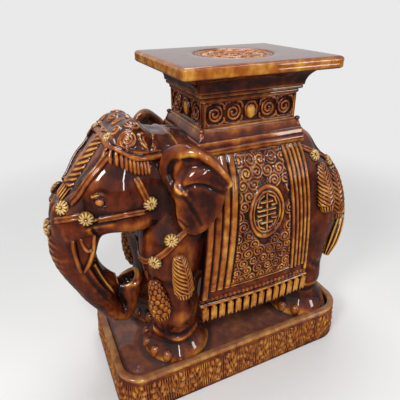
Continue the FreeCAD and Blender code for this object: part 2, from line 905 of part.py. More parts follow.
def top_plate():
    plate = pedestal_block(plate_length, plate_width, plate_base_height, plate_top_height)
    upper = [edge for edge in plate.Edges if edge.BoundBox.ZMin > plate_top_height - plate_thickness / 2.0]
    lower = [edge for edge in plate.Edges if edge.BoundBox.ZMax < plate_base_height + plate_thickness / 2.0]
    plate = plate.makeFillet(plate_edge_radius, upper).makeFillet(plate_edge_radius / 2.0, lower)
    return plate.cut(upright_cylinder(pedestal_setback, 0, plate_top_height - medallion_recess,
                                      plate_top_height + overrun, medallion_radius))


def top_medallion():
    # A disc in the plate's recess with rolled rings, its crest just under the plate's face
    radius = medallion_radius - medallion_gap
    floor = plate_top_height - medallion_recess
    crown = floor + medallion_recess - medallion_roll_radius
    disc = upright_cylinder(pedestal_setback, 0, floor, crown, radius)
    rolls = []
    for share in (1.0, 2.0 / 3.0, 1.0 / 3.0):
        centre = Vector(pedestal_setback, 0, crown)
        roll_reach = (radius - medallion_roll_radius) * share
        rolls.append(Part.makeTorus(roll_reach, medallion_roll_radius * 0.8, centre))
    return disc.multiFuse(rolls).cut(upright_cylinder(pedestal_setback, 0, floor - overrun, floor, radius))


# Harness
def head_strap(skin, places, neighbours):
    # A straight band over the head's left side, seen from that side
    start, end = (head_place(along, 0.0, up) for along, up in places)
    band = skin.common(strip(start, end, strap_width, along_y * -head_width))
    return without_slivers(cut_all(band, neighbours))


def cap_region(low_share, high_share, outward):
    # The part of the head's length that its cloth covers, between two heights
    front = head_place(cap_span_shares[1], 1.0, low_share)
    rear = head_place(cap_span_shares[0], -outward, high_share)
    return box(front, rear)


def head_cloth_fringe(skin):
    # Strands under the hem of the head cloth, on the left side
    drop = cap_fringe_length / head_height
    band = skin.common(cap_region(cap_hem_share - drop, cap_hem_share, 0.0))
    front = band.BoundBox.XMin
    length = band.BoundBox.XLength
    count = int(length / cap_fringe_pitch)
    gaps = []
    for index in range(1, count):
        x = front + index * length / count
        gaps.append(box(Vector(x - cap_fringe_gap, -head_width, band.BoundBox.ZMin - overrun),
                        Vector(x, 0, band.BoundBox.ZMax + overrun)))
    return without_slivers(band.cut(gaps))


def crupper_strap(skin):
    start = body_place(crupper_strap_shares[0][0], crupper_strap_shares[0][1], 0.5)
    end = body_place(crupper_strap_shares[1][0], crupper_strap_shares[1][1], 0.5)
    return skin.common(strip(start, end, strap_width, Vector(0, 0, torso_height)))


def breast_strap(skin):
    # Round the chest, from one foreleg to the other
    half = along_z * (strap_width / 2.0)
    front = Vector(-chest_reach * 2.0, -torso_width, belly_height + breast_strap_share * torso_height)
    rear = Vector(-chest_reach / 2.0, torso_width, front.z)
    return skin.common(box(front - half, rear + half))


def both_sides(name, shape):
    # A piece on the elephant's left and its mirror image on the right
    save(name + "_left", shape)
    save(name + "_right", mirrored(shape))


def save_elephant(torso, head, trunk, legs):
    kiln_vents = vents()
    save("torso", cut_all(torso.cut(torso_form(-clay_wall)), kiln_vents))
    for front, name in ((True, "leg_front"), (False, "leg_rear")):
        both_sides(name, legs[front].cut(leg_form(front, -1, -clay_wall)))
    save("head", cut_all(head.cut(head_form(-clay_wall)), kiln_vents))
    save("trunk", trunk.cut(trunk_form(-clay_wall, 2)))
    save("lower_jaw", cut_all(jaw_form(), [head, torso, trunk]))
    save("tail", cut_all(tail(), [torso, legs[False]]))
    nails = [toenails(front, leg) for front, leg in legs.items()]
    save("toenails", group(nails + [mirrored(nail) for nail in nails]))
    both_sides("tusk", cut_all(tusk(), [head, trunk]))
    both_sides("eye", dome([head], head_place(*eye_shares[:3]), *eye_shares[3:], eye_radius, eye_relief))


def save_cloth(cloth, torso, legs, ear_left, foot):
    both_sides("saddle_cloth", cloth)
    both_sides("cloth_border", cut_all(cloth_border(cloth, torso), [ear_left, foot]))
    both_sides("cloth_medallion", cloth_medallion(cloth, torso))
    both_sides("cloth_fringe", cloth_fringe([torso] + list(legs.values())))


def save_pedestal(foot, waist, neighbours):
    save("pedestal_foot", foot)
    save("pedestal_waist", waist)
    save("pedestal_knobs", cut_all(pedestal_knobs(foot), [waist] + neighbours))
    save("waist_scrolls", waist_scrolls(waist))
    save("pedestal_cove", pedestal_cove())
    save("top_plate", top_plate())
    save("top_medallion", top_medallion())


def save_bridle(head, torso, trunk, ears):
    cap_skin = head_form(cap_thickness).cut([torso, head])
    cap = cut_all(cap_skin.common(cap_region(cap_hem_share, 1.0 + cap_hem_share, 1.0)), ears)
    save("head_cloth", cap)
    fringe = cut_all(head_cloth_fringe(cap_skin), ears[:1])
    save("head_cloth_fringe", group([fringe, mirrored(fringe)]))
    top, tip = (head_place(*place) for place in forehead_tassel_shares)
    drop = cut_all(tassel(top, tip, forehead_tassel_radius), [head, cap])
    save("forehead_tassel", drop)
    bosses = []
    rosettes = ((nose_rosette_shares, rosette_radius), (cheek_rosette_shares, rosette_radius),
                (ear_rosette_shares, rosette_radius), (cap_rosette_shares, small_rosette_radius))
    for shares, radius in rosettes:
        boss = dome([head, cap, trunk], head_place(*shares[:3]), *shares[3:], radius, rosette_relief)
        bosses.append(largest(cut_all(boss, bosses + [drop, ears[0]])))
    save("bridle_rosettes", group(bosses + [mirrored(boss) for boss in bosses]))
    skin = head_form(strap_thickness).cut([torso, head])
    both_sides("brow_strap", head_strap(skin, brow_strap_shares, bosses + [cap, drop]))
    straps = [head_strap(skin, jaw_strap_shares, bosses)]
    straps.append(head_strap(skin, cheek_strap_shares, bosses + straps))
    straps.append(head_strap(skin, nose_strap_shares, bosses + straps + [trunk]))
    both_sides("cheek_strap", group(straps))
    flowers = []
    for down, size in flower_shares:
        place = head_place(trunk_root_shares[0], 0.0, trunk_root_shares[2] - down)
        boss = dome([trunk, head], place, 90.0, 0.0, flower_radius * size, flower_relief * size)
        flowers.append(largest(cut_all(boss, flowers)))
    save("trunk_flower", group(flowers))


def body_bosses(places, body, neighbours):
    bosses = []
    for shares in places:
        boss = dome(body, body_place(*shares[:3]), *shares[3:], rosette_radius, rosette_relief)
        bosses.append(largest(cut_all(boss, neighbours)))
    return bosses


def body_tassels(places, radius, neighbours):
    drops = []
    for top, tip in places:
        drop = tassel(body_place(*top), body_place(*tip), radius)
        drops.append(largest(cut_all(drop, neighbours + drops)))
    return drops


def save_body_harness(torso, head, legs, cloth, foot, ear_left):
    skin = torso_form(strap_thickness).cut(torso)
    left_legs = list(legs.values())
    body = [torso] + left_legs
    bosses = body_bosses(breast_rosette_shares, body, [ear_left, head])
    both_bosses = bosses + [mirrored(boss) for boss in bosses]
    save("breast_rosettes", group(both_bosses))
    both_legs = left_legs + [mirrored(leg) for leg in left_legs]
    save("breast_strap", without_slivers(cut_all(breast_strap(skin), both_legs + both_bosses + [head])))
    drops = body_tassels(breast_tassel_shares, breast_tassel_radius, body + bosses + [ear_left])
    both_sides("breast_tassels", group(drops))
    bosses = body_bosses(crupper_rosette_shares, body, [cloth, foot])
    save("crupper_rosettes", group(bosses + [mirrored(boss) for boss in bosses]))
    both_sides("crupper_strap", without_slivers(cut_all(crupper_strap(skin), bosses + [cloth, foot])))
    drops = body_tassels(rump_tassel_shares, rump_tassel_radius, body + bosses + [cloth])
    both_sides("rump_tassels", group(drops))


def main():
    os.makedirs("parts", exist_ok=True)
    shell = plinth_shell()
    save("plinth_wall", shell.cut(plinth_inside(-overrun, plinth_height + overrun)))
    save("plinth_rim", plinth_rim())
    save("plinth_deck", plinth_deck())
    save("plinth_frieze", plinth_frieze(shell))

    torso = torso_form()
    cloth = cloth_form().common(cloth_outline()).cut(torso)
    legs = {front: cut_all(leg_form(front, -1), [torso, cloth]) for front in (True, False)}
    head = head_form().cut(torso)
    trunk = trunk_form().cut(head)
    foot = cut_all(pedestal_foot(), [torso, cloth, mirrored(cloth)])
    ear_left = cut_all(ear(), [head, torso, cloth, foot, legs[True]])
    ears = [ear_left, mirrored(ear_left)]
    both_sides("ear", ear_left)
    save_elephant(torso, head, trunk, legs)
    save_cloth(cloth, torso, legs, ear_left, foot)
    save_pedestal(foot, pedestal_waist(), [torso] + ears)
    save_bridle(head, torso, trunk, ears)
    save_body_harness(torso, head, legs, cloth, foot, ear_left)


main()
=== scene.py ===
import math
import random

import bmesh
import bpy
import numpy as np
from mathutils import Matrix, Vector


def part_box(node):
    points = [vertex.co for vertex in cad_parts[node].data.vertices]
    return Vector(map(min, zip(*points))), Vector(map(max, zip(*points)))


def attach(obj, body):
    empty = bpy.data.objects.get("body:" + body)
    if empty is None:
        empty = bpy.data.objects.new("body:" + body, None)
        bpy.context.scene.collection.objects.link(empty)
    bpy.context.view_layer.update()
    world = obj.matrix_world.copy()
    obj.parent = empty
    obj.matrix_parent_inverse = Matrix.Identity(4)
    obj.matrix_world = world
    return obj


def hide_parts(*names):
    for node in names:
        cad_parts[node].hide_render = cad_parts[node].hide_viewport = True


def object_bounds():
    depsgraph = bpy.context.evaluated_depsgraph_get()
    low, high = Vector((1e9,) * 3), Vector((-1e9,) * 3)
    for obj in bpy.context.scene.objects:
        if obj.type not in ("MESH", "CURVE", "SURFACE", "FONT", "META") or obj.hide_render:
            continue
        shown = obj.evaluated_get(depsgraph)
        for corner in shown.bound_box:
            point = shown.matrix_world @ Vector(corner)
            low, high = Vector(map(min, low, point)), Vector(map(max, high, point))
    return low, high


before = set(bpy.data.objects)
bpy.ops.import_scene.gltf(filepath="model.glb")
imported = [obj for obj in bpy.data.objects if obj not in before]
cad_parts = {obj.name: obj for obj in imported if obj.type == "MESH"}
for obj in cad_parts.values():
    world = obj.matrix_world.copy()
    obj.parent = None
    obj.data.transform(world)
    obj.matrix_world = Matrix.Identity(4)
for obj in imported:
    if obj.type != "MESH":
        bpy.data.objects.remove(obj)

import openvdb
from mathutils import Vector
from mathutils.bvhtree import BVHTree

# A glazed elephant stand, dressed piece by piece over its frame. The elephant faces -X and its
# left side is -Y. One mm is a millimetre on a stand 420 high, so every size follows the frame.
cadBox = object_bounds()
mm = (cadBox[1].z - cadBox[0].z) / 420.0
up = np.array((0.0, 0.0, 1.0))


def at(x, y, z):
    return np.array((x, y, z), float) * mm


# Node sheets, for glazes and for Geometry Nodes alike
class Wire:
    # A socket that takes part in sums; add() puts any other node on the same sheet
    def __init__(self, tree, socket=None):
        self.tree = tree
        self.socket = socket

    def add(self, kind, settings, sockets, output=0):
        node = self.tree.nodes.new(kind)
        for name, value in settings.items():
            if name == "stops":
                self.setStops(node.color_ramp, value)
            else:
                setattr(node, name, value)
        for name, value in sockets.items():
            links = value if isinstance(value, list) else [value]
            for link in reversed(links):
                if isinstance(link, Wire):
                    self.tree.links.new(link.socket, node.inputs[name])
                else:
                    node.inputs[name].default_value = link
        return Wire(self.tree, node.outputs[output] if len(node.outputs) else None)

    def setStops(self, ramp, stops):
        while len(ramp.elements) < len(stops):
            ramp.elements.new(1.0)
        for element, (place, colour) in zip(ramp.elements, stops):
            element.position = place
            element.color = (*colour, 1.0)

    def pick(self, name):
        return Wire(self.tree, self.socket.node.outputs[name])

    def sum(self, operation, first, second):
        return self.add("ShaderNodeMath", {"operation": operation}, {0: first, 1: second})

    def __add__(self, other):
        return self.sum("ADD", self, other)

    def __sub__(self, other):
        return self.sum("SUBTRACT", self, other)

    def __rsub__(self, other):
        return self.sum("SUBTRACT", other, self)

    def __mul__(self, other):
        return self.sum("MULTIPLY", self, other)

    def __pow__(self, other):
        return self.sum("POWER", self, other)

    def atLeast(self, low):
        return self.sum("MAXIMUM", self, low)

    __radd__ = __add__
    __rmul__ = __mul__


# Glazes: a treacle glaze that thins to amber on crests and pools dark in hollows, with painted shade added where other
# surfaces are near and a painted purple-grey reflection on faces that turn up
glazeStops = {
    "body": ((0.0, (0.006, 0.0022, 0.0016)), (0.26, (0.030, 0.0058, 0.0028)), (0.50, (0.115, 0.0185, 0.0042)),
             (0.74, (0.310, 0.0880, 0.0100)), (1.0, (0.560, 0.2850, 0.0520))),
    "straw": ((0.0, (0.018, 0.0065, 0.0026)), (0.30, (0.130, 0.0450, 0.0090)), (0.55, (0.380, 0.2000, 0.0480)),
              (0.78, (0.580, 0.3900, 0.1350)), (1.0, (0.740, 0.5700, 0.2900))),
}
# per glaze: how much painted shade, partly glaze pooling, darkens it near other surfaces, and how much painted
# purple-grey reflection its upward faces take
glazes = {
    "bodyGlaze": {"stops": "body", "lift": 0.30, "crest": 1.05, "poolAndShade": 0.30, "streak": 0.50, "blotch": 0.20,
                  "paintedSheen": 0.12},
    "ornamentGlaze": {"stops": "body", "lift": 0.50, "crest": 0.50, "poolAndShade": 0.52, "streak": 0.18, "blotch": 0.36,
                      "paintedSheen": 0.04},
    "rosetteGlaze": {"stops": "straw", "lift": 0.42, "crest": 0.48, "poolAndShade": 0.80, "streak": 0.08, "blotch": 0.20,
                     "paintedSheen": 0.0},
    "clothGlaze": {"stops": "body", "lift": 0.49, "crest": 0.68, "poolAndShade": 0.42, "streak": 0.34, "blotch": 0.36,
                   "paintedSheen": 0.08},
    "standGlaze": {"stops": "body", "lift": 0.42, "crest": 0.56, "poolAndShade": 0.42, "streak": 0.34, "blotch": 0.30,
                   "paintedSheen": 0.26},
}
# the purple is a painted reflection colour for upward faces; the reach is how far the AO node looks for the painted
# shade
glazeSurface = {"roughness": 0.03, "roughSpread": 0.06, "shine": 0.50, "coat": 0.10, "coatRoughness": 0.03,
                "poolAndShadeReach": 7.0 * mm,
                "paintedSheenPurple": (0.135, 0.070, 0.060), "dimple": 0.16, "dimpleDepth": 1.1 * mm}


def makeGlaze(name, look):
    material = bpy.data.materials.new(name)
    material.use_nodes = True
    material.node_tree.nodes.clear()
    sheet = Wire(material.node_tree)
    place = sheet.add("ShaderNodeTexCoord", {}, {}, "Object")
    drawn = sheet.add("ShaderNodeMapping", {}, {"Vector": place, "Scale": (1.0, 1.0, 0.22)})
    streak = sheet.add("ShaderNodeTexNoise", {}, {"Vector": drawn, "Scale": 0.055 / mm, "Detail": 3.0})
    blotch = sheet.add("ShaderNodeTexNoise", {}, {"Vector": place, "Scale": 0.11 / mm, "Detail": 4.0})
    crest = sheet.add("ShaderNodeAttribute", {"attribute_name": "crest"}, {}, "Fac")
    # painted shade, partly glaze pooling: the tone darkens where the AO node finds other surfaces near
    near = sheet.add("ShaderNodeAmbientOcclusion", {"samples": 6}, {"Distance": glazeSurface["poolAndShadeReach"]}, "AO")
    pooledAndShaded = 1.0 - near
    tone = (look["lift"] + crest * look["crest"] - pooledAndShaded * look["poolAndShade"]
            + (streak - 0.5) * look["streak"] * 2.0 + (blotch - 0.5) * look["blotch"] * 2.0)
    colour = sheet.add("ShaderNodeValToRGB", {"stops": glazeStops[look["stops"]]}, {"Fac": tone}, "Color")
    # painted reflection: faces that turn up are mixed toward a purple-grey sheen
    normal = sheet.add("ShaderNodeNewGeometry", {}, {}, "Normal")
    level = sheet.add("ShaderNodeSeparateXYZ", {}, {"Vector": normal}, "Z").atLeast(0.0) ** 2.0
    mixed = sheet.add("ShaderNodeMix", {"data_type": "RGBA"}, {0: level * look["paintedSheen"] * 2.0, 6: colour,
                      7: (*glazeSurface["paintedSheenPurple"], 1.0)}, 2)
    dimple = sheet.add("ShaderNodeTexNoise", {}, {"Vector": place, "Scale": 0.07 / mm, "Detail": 2.0})
    bump = sheet.add("ShaderNodeBump", {}, {"Strength": glazeSurface["dimple"], "Distance": glazeSurface["dimpleDepth"],
                     "Height": dimple})
    rough = glazeSurface["roughness"] + blotch * glazeSurface["roughSpread"]
    shader = sheet.add("ShaderNodeBsdfPrincipled", {}, {"Base Color": mixed, "Roughness": rough, "IOR": 1.50,
                                                        "Specular IOR Level": glazeSurface["shine"],
                       "Coat Weight": glazeSurface["coat"], "Coat Roughness": glazeSurface["coatRoughness"],
                       "Normal": bump})
    sheet.add("ShaderNodeOutputMaterial", {}, {"Surface": shader})
    return material


glaze = {name: makeGlaze(name, look) for name, look in glazes.items()}
print("glazes mixed")


# Meshes from arrays
def gridFaces(rows, columns, wrap=False):
    row, column = np.meshgrid(np.arange(rows - 1), np.arange(columns if wrap else columns - 1), indexing="ij")
    following = (column + 1) % columns
    faces = np.stack((row * columns + column, row * columns + following,
                      (row + 1) * columns + following, (row + 1) * columns + column), axis=-1)
    return faces.reshape(-1, 4).tolist()


def newPiece(name, points, faces, crest=None, edges=()):
    mesh = bpy.data.meshes.new(name)
    mesh.from_pydata(np.asarray(points, float).reshape(-1, 3).tolist(), list(edges), faces)
    piece = bpy.data.objects.new(name, mesh)
    bpy.context.scene.collection.objects.link(piece)
    if crest is not None:
        storeValue(piece, "crest", crest)
    return piece


def storeValue(piece, name, values, kind="FLOAT"):
    layer = piece.data.attributes.new(name, kind, "POINT")
    layer.data.foreach_set("value" if kind == "FLOAT" else "vector", np.asarray(values, np.float32).ravel())


def meshPoints(piece, name="co"):
    mesh = piece.data
    values = np.empty(len(mesh.vertices) * 3, np.float32)
    if name == "co":
        mesh.vertices.foreach_get("co", values)
    else:
        mesh.vertex_normals.foreach_get("vector", values)
    return values.reshape(-1, 3).astype(float)


def movePoints(piece, points):
    piece.data.vertices.foreach_set("co", np.asarray(points, np.float32).ravel())
    piece.data.update()


def unit(vectors):
    return vectors / np.linalg.norm(vectors, axis=-1)[..., None]


def lengthsAlong(line):
    return np.concatenate(([0.0], np.cumsum(np.linalg.norm(np.diff(line, axis=0), axis=1))))


def pointOn(line, share):
    return np.array([np.interp(share, np.linspace(0, 1, len(line)), line[:, axis]) for axis in range(3)])


def relaxed(piece, values, rounds):
    # each value drawn to the mean of its neighbours', round by round
    edges = np.empty(len(piece.data.edges) * 2, np.int32)
    piece.data.edges.foreach_get("vertices", edges)
    first, second = edges[0::2], edges[1::2]
    ends = np.concatenate((first, second))
    others = np.concatenate((second, first))
    degree = np.maximum(np.bincount(ends, minlength=len(values)), 1)[:, None]
    for _ in range(rounds):
        total = np.stack([np.bincount(ends, values[others, axis], len(values)) for axis in range(values.shape[1])],
                         axis=1)
        values = 0.5 * values + 0.5 * total / degree
    return values


def markCrests(piece, rounds, span, lift=0.0, low=-1.0):
    # crests stand proud of the relaxed surface and hollows lie under it
    points = meshPoints(piece)
    proud = ((points - relaxed(piece, points, rounds)) * meshPoints(piece, "normal")).sum(axis=1) / span
    storeValue(piece, "crest", np.clip(proud + lift, low, 1.0))


def dulled(piece, share):
    # the glaze lies thicker: each crest keeps only a share of its amber
    layer = piece.data.attributes["crest"]
    values = np.empty(len(layer.data), np.float32)
    layer.data.foreach_get("value", values)
    layer.data.foreach_set("value", values * share)
    return piece


def faceOut(piece, weld=True):
    work = bmesh.new()
    work.from_mesh(piece.data)
    if weld:
        bmesh.ops.remove_doubles(work, verts=work.verts, dist=0.0005 * mm)
    bmesh.ops.recalc_face_normals(work, faces=work.faces)
    work.to_mesh(piece.data)
    work.free()
    piece.data.shade_smooth()
    return piece


def dress(piece, glazeName, *nodes):
    piece.data.materials.clear()
    piece.data.materials.append(glaze[glazeName])
    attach(piece, "root")
    if nodes:
        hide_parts(*nodes)
    return piece


def joined(name, pieces):
    # several loose meshes as one piece
    with bpy.context.temp_override(active_object=pieces[0], selected_editable_objects=pieces):
        bpy.ops.object.join()
    pieces[0].name = name
    pieces[0].data.name = name
    return pieces[0]


def roundedRing(halfLength, halfWidth, radius, sideSteps, cornerSteps):
    # a level ring of points round a rectangle with round corners, anticlockwise from +X +Y
    corners = []
    for quarter, (sx, sy) in enumerate(((1, 1), (-1, 1), (-1, -1), (1, -1))):
        turn = np.radians(90.0 * quarter + np.linspace(0.0, 90.0, cornerSteps + 1))
        arc = np.stack((sx * (halfLength - radius) + radius * np.cos(turn),
                        sy * (halfWidth - radius) + radius * np.sin(turn)), axis=1)
        corners.append(arc)
    ring = []
    for quarter, arc in enumerate(corners):
        following = corners[(quarter + 1) % 4][0]
        steps = sideSteps[quarter % 2]
        share = (np.arange(1, steps) / steps)[:, None]
        ring += [arc, arc[-1] * (1 - share) + following * share]
    return np.concatenate(ring)


def levelRing(flat, z, centre=0.0):
    # a flat ring lifted to its height
    return np.column_stack((flat[:, 0] + centre, flat[:, 1], np.full(len(flat), z)))


def ringPiece(name, rings, crest, hollow):
    # a closed shell through rings: hollow joins the last to the first, else both ends are capped.
    # A crest of None is marked later
    rows, columns = rings.shape[:2]
    if crest is not None:
        crest = np.broadcast_to(np.asarray(crest, float), (rows, columns)).ravel()
    faces = gridFaces(rows, columns, True)
    lastRow = (rows - 1) * columns
    if hollow:
        for column in range(columns):
            following = (column + 1) % columns
            faces.append([lastRow + column, lastRow + following, following, column])
    else:
        faces += [list(range(columns))[::-1], list(range(lastRow, lastRow + columns))]
    return faceOut(newPiece(name, rings, faces, crest), weld=False)


def curveThrough(points, steps=8):
    # a smooth line through a few places
    points = np.asarray(points, float)
    before = np.vstack((points[:1], points[:-1]))
    after = np.vstack((points[1:], points[-1:]))
    slope = (after - before) / 2.0
    line = []
    for index in range(len(points) - 1):
        start, end = points[index], points[index + 1]
        leave, reach = slope[index], slope[index + 1]
        for step in range(steps):
            t = step / steps
            line.append(start * (2 * t**3 - 3 * t**2 + 1) + leave * (t**3 - 2 * t**2 + t)
                        + end * (3 * t**2 - 2 * t**3) + reach * (t**3 - t**2))
    line.append(points[-1])
    return np.array(line)


def lineDistance(points, line):
    nearest = np.full(len(points), 1e9)
    for start, end in zip(line, line[1:]):
        span = end - start
        share = np.clip(((points - start) @ span) / max(span @ span, 1e-12), 0.0, 1.0)
        nearest = np.minimum(nearest, np.linalg.norm(points - start - share[:, None] * span, axis=1))
    return nearest


# Geometry Nodes trees
def named(sheet, name, kind="FLOAT_VECTOR"):
    # a value that the points carry
    return sheet.add("GeometryNodeInputNamedAttribute", {"data_type": kind}, {"Name": name}, "Attribute")


def newTree(name, inputs):
    tree = bpy.data.node_groups.new(name, "GeometryNodeTree")
    for label, kind in inputs.items():
        tree.interface.new_socket(label, in_out="INPUT", socket_type="NodeSocket" + kind)
    tree.interface.new_socket("Clay", in_out="OUTPUT", socket_type="NodeSocketGeometry")
    return tree


def closeTree(sheet, clay, given, facing):
    # crest from how far a face turns towards its facing, then one glazed mesh
    normal = sheet.add("GeometryNodeInputNormal", {}, {})
    turned = sheet.add("ShaderNodeVectorMath", {"operation": "DOT_PRODUCT"}, {0: normal, 1: facing}, "Value")
    clay = sheet.add("GeometryNodeRealizeInstances", {}, {"Geometry": clay})
    clay = sheet.add("GeometryNodeStoreNamedAttribute", {"data_type": "FLOAT", "domain": "POINT"},
                     {"Geometry": clay, "Name": "crest", "Value": turned * 1.3 - 0.45})
    clay = sheet.add("GeometryNodeSetShadeSmooth", {}, {"Geometry": clay})
    clay = sheet.add("GeometryNodeSetMaterial", {}, {"Geometry": clay, "Material": given.pick("Glaze")})
    sheet.add("NodeGroupOutput", {}, {"Clay": clay})


def coilTree():
    # rolls of clay that follow drawn lines; each line's points carry their thickness and facing
    tree = newTree("clayCoils", {"Lines": "Geometry", "Sides": "Int", "Glaze": "Material"})
    sheet = Wire(tree)
    given = sheet.add("NodeGroupInput", {}, {})
    thick = named(sheet, "thick", "FLOAT")
    facing = named(sheet, "facing")
    curve = sheet.add("GeometryNodeMeshToCurve", {}, {"Mesh": given.pick("Lines")})
    profile = sheet.add("GeometryNodeCurvePrimitiveCircle", {}, {"Resolution": given.pick("Sides"), "Radius": 1.0})
    clay = sheet.add("GeometryNodeCurveToMesh", {}, {"Curve": curve, "Profile Curve": profile, "Scale": thick,
                     "Fill Caps": True})
    closeTree(sheet, clay, given, facing)
    return tree


def sprigTree():
    # one moulded sprig, pressed on at every point; each point carries its facing, upright and size
    tree = newTree("pressedSprigs", {"Places": "Geometry", "Sprig": "Object", "Glaze": "Material"})
    sheet = Wire(tree)
    given = sheet.add("NodeGroupInput", {}, {})
    facing = named(sheet, "facing")
    upright = named(sheet, "upright")
    size = named(sheet, "size")
    turn = sheet.add("FunctionNodeAlignRotationToVector", {"axis": "Z"}, {"Vector": facing})
    turn = sheet.add("FunctionNodeAlignRotationToVector", {"axis": "Y", "pivot_axis": "Z"},
                     {"Rotation": turn, "Vector": upright})
    mould = sheet.add("GeometryNodeObjectInfo", {}, {"Object": given.pick("Sprig")}, "Geometry")
    clay = sheet.add("GeometryNodeInstanceOnPoints", {}, {"Points": given.pick("Places"), "Instance": mould,
                     "Rotation": turn, "Scale": size})
    closeTree(sheet, clay, given, facing)
    return tree


def rosetteTree():
    # a domed rosette: lobes round a bead, pressed on at every point
    tree = newTree("petalRosettes", {"Places": "Geometry", "Lobes": "Int", "Dome": "Float", "Glaze": "Material"})
    sheet = Wire(tree)
    given = sheet.add("NodeGroupInput", {}, {})
    facing = named(sheet, "facing")
    size = named(sheet, "size", "FLOAT")
    lobe = sheet.add("GeometryNodeMeshUVSphere", {}, {"Segments": 10, "Rings": 8, "Radius": 1.0}, "Mesh")
    lobe = sheet.add("GeometryNodeTransform", {}, {"Geometry": lobe, "Scale": (0.50, 0.235, 0.36)})
    lobe = sheet.add("GeometryNodeTransform", {}, {"Geometry": lobe, "Rotation": (0.0, 0.42, 0.0),
                                                   "Translation": (0.52, 0.0, 0.0)})
    places = sheet.add("GeometryNodeMeshCircle", {}, {"Vertices": given.pick("Lobes"), "Radius": 0.001})
    index = sheet.add("GeometryNodeInputIndex", {}, {})
    share = sheet.add("ShaderNodeMath", {"operation": "DIVIDE"}, {0: index, 1: given.pick("Lobes")})
    euler = sheet.add("ShaderNodeCombineXYZ", {}, {"Z": share * (2.0 * math.pi)})
    swing = sheet.add("FunctionNodeEulerToRotation", {}, {"Euler": euler})
    ring = sheet.add("GeometryNodeInstanceOnPoints", {}, {"Points": places, "Instance": lobe, "Rotation": swing})
    raised = sheet.add("ShaderNodeCombineXYZ", {}, {"Z": given.pick("Dome")})
    ring = sheet.add("GeometryNodeTransform", {}, {"Geometry": ring, "Translation": raised})
    bead = sheet.add("GeometryNodeMeshUVSphere", {}, {"Segments": 10, "Rings": 7, "Radius": 0.17}, "Mesh")
    bead = sheet.add("GeometryNodeTransform", {}, {"Geometry": bead, "Translation": (0.0, 0.0, 0.46)})
    backing = sheet.add("GeometryNodeMeshUVSphere", {}, {"Segments": 24, "Rings": 10, "Radius": 1.0}, "Mesh")
    backing = sheet.add("GeometryNodeTransform", {}, {"Geometry": backing, "Scale": (0.93, 0.93, 0.40)})
    rosette = sheet.add("GeometryNodeJoinGeometry", {}, {"Geometry": [ring, bead, backing]})
    turn = sheet.add("FunctionNodeAlignRotationToVector", {"axis": "Z"}, {"Vector": facing})
    clay = sheet.add("GeometryNodeInstanceOnPoints", {}, {"Points": given.pick("Places"), "Instance": rosette,
                     "Rotation": turn, "Scale": size})
    closeTree(sheet, clay, given, facing)
    return tree


def settle(piece, tree, inputs):
    # runs a tree on a piece and keeps its result as a plain mesh
    modifier = piece.modifiers.new(tree.name, "NODES")
    modifier.node_group = tree
    for socket in tree.interface.items_tree:
        if socket.item_type == "SOCKET" and socket.in_out == "INPUT" and socket.name in inputs:
            modifier[socket.identifier] = inputs[socket.name]
    graph = bpy.context.evaluated_depsgraph_get()
    mesh = bpy.data.meshes.new_from_object(piece.evaluated_get(graph))
    piece.modifiers.clear()
    piece.data = mesh
    return faceOut(piece)


trees = {"coils": coilTree(), "sprigs": sprigTree(), "rosettes": rosetteTree()}


def coils(name, lines, glazeName, sides=8):
    # lines hold (points, thickness along them, facing along them)
    points = np.concatenate([line[0] for line in lines])
    starts = np.cumsum([0] + [len(line[0]) for line in lines])
    edges = [(index, index + 1) for start, end in zip(starts, starts[1:]) for index in range(start, end - 1)]
    piece = newPiece(name, points, [], edges=edges)
    storeValue(piece, "thick", np.concatenate([np.broadcast_to(line[1], len(line[0])) for line in lines]))
    storeValue(piece, "facing", np.concatenate([np.broadcast_to(line[2], line[0].shape) for line in lines]),
               "FLOAT_VECTOR")
    return settle(piece, trees["coils"], {"Sides": sides, "Glaze": glaze[glazeName]})


def rosettes(name, places, lobes, glazeName):
    # places hold (point, facing, radius)
    piece = newPiece(name, [place[0] for place in places], [])
    storeValue(piece, "facing", [place[1] for place in places], "FLOAT_VECTOR")
    storeValue(piece, "size", [place[2] for place in places])
    return settle(piece, trees["rosettes"], {"Lobes": lobes, "Dome": 0.16, "Glaze": glaze[glazeName]})


def sprigs(name, mould, places, glazeName):
    # places hold (point, facing, upright, size along three axes)
    piece = newPiece(name, [place[0] for place in places], [])
    for index, label in ((1, "facing"), (2, "upright"), (3, "size")):
        storeValue(piece, label, [place[index] for place in places], "FLOAT_VECTOR")
    return settle(piece, trees["sprigs"], {"Sprig": mould, "Glaze": glaze[glazeName]})


def roundEnds(count, thickness, share=0.12):
    # a coil's thickness along its length, with rounded ends
    along = np.linspace(0.0, 1.0, count)
    end = np.clip(np.minimum(along, 1.0 - along) / share, 0.0, 1.0)
    return thickness * np.sqrt(np.clip(1.0 - (1.0 - end) ** 2, 0.02, 1.0))


def ballMould(segments, rings):
    # a unit ball to press on as beads, nails and buds
    rows = []
    for ring in range(1, rings):
        turn = math.pi * ring / rings
        around = 2.0 * np.pi * np.arange(segments) / segments
        rows.append(np.column_stack((np.sin(turn) * np.cos(around), np.sin(turn) * np.sin(around),
                                     np.full(segments, np.cos(turn)))))
    points = np.concatenate(rows + [np.array([[0.0, 0.0, 1.0], [0.0, 0.0, -1.0]])])
    faces = gridFaces(rings - 1, segments, True)
    last = (rings - 2) * segments
    for column in range(segments):
        following = (column + 1) % segments
        faces += [[column, following, len(points) - 2], [last + following, last + column, len(points) - 1]]
    return faceOut(newPiece("ballMould", points, faces))


ball = ballMould(14, 10)
print("clay tools ready")


# The elephant: a distance field over the frame's hollow forms, filled, with clay added and smoothed on
clayField = {"bodyCell": 2.109 * mm, "headCell": 1.397 * mm, "earCell": 1.3 * mm, "band": 8, "fillet": 11.0 * mm,
             "headFillet": 7.0 * mm, "lumpFillet": 12.0 * mm, "neckFillet": 15.0 * mm, "neckSink": 0.4 * mm,
             "earFillet": 2.0 * mm, "shave": 0.5 * mm}


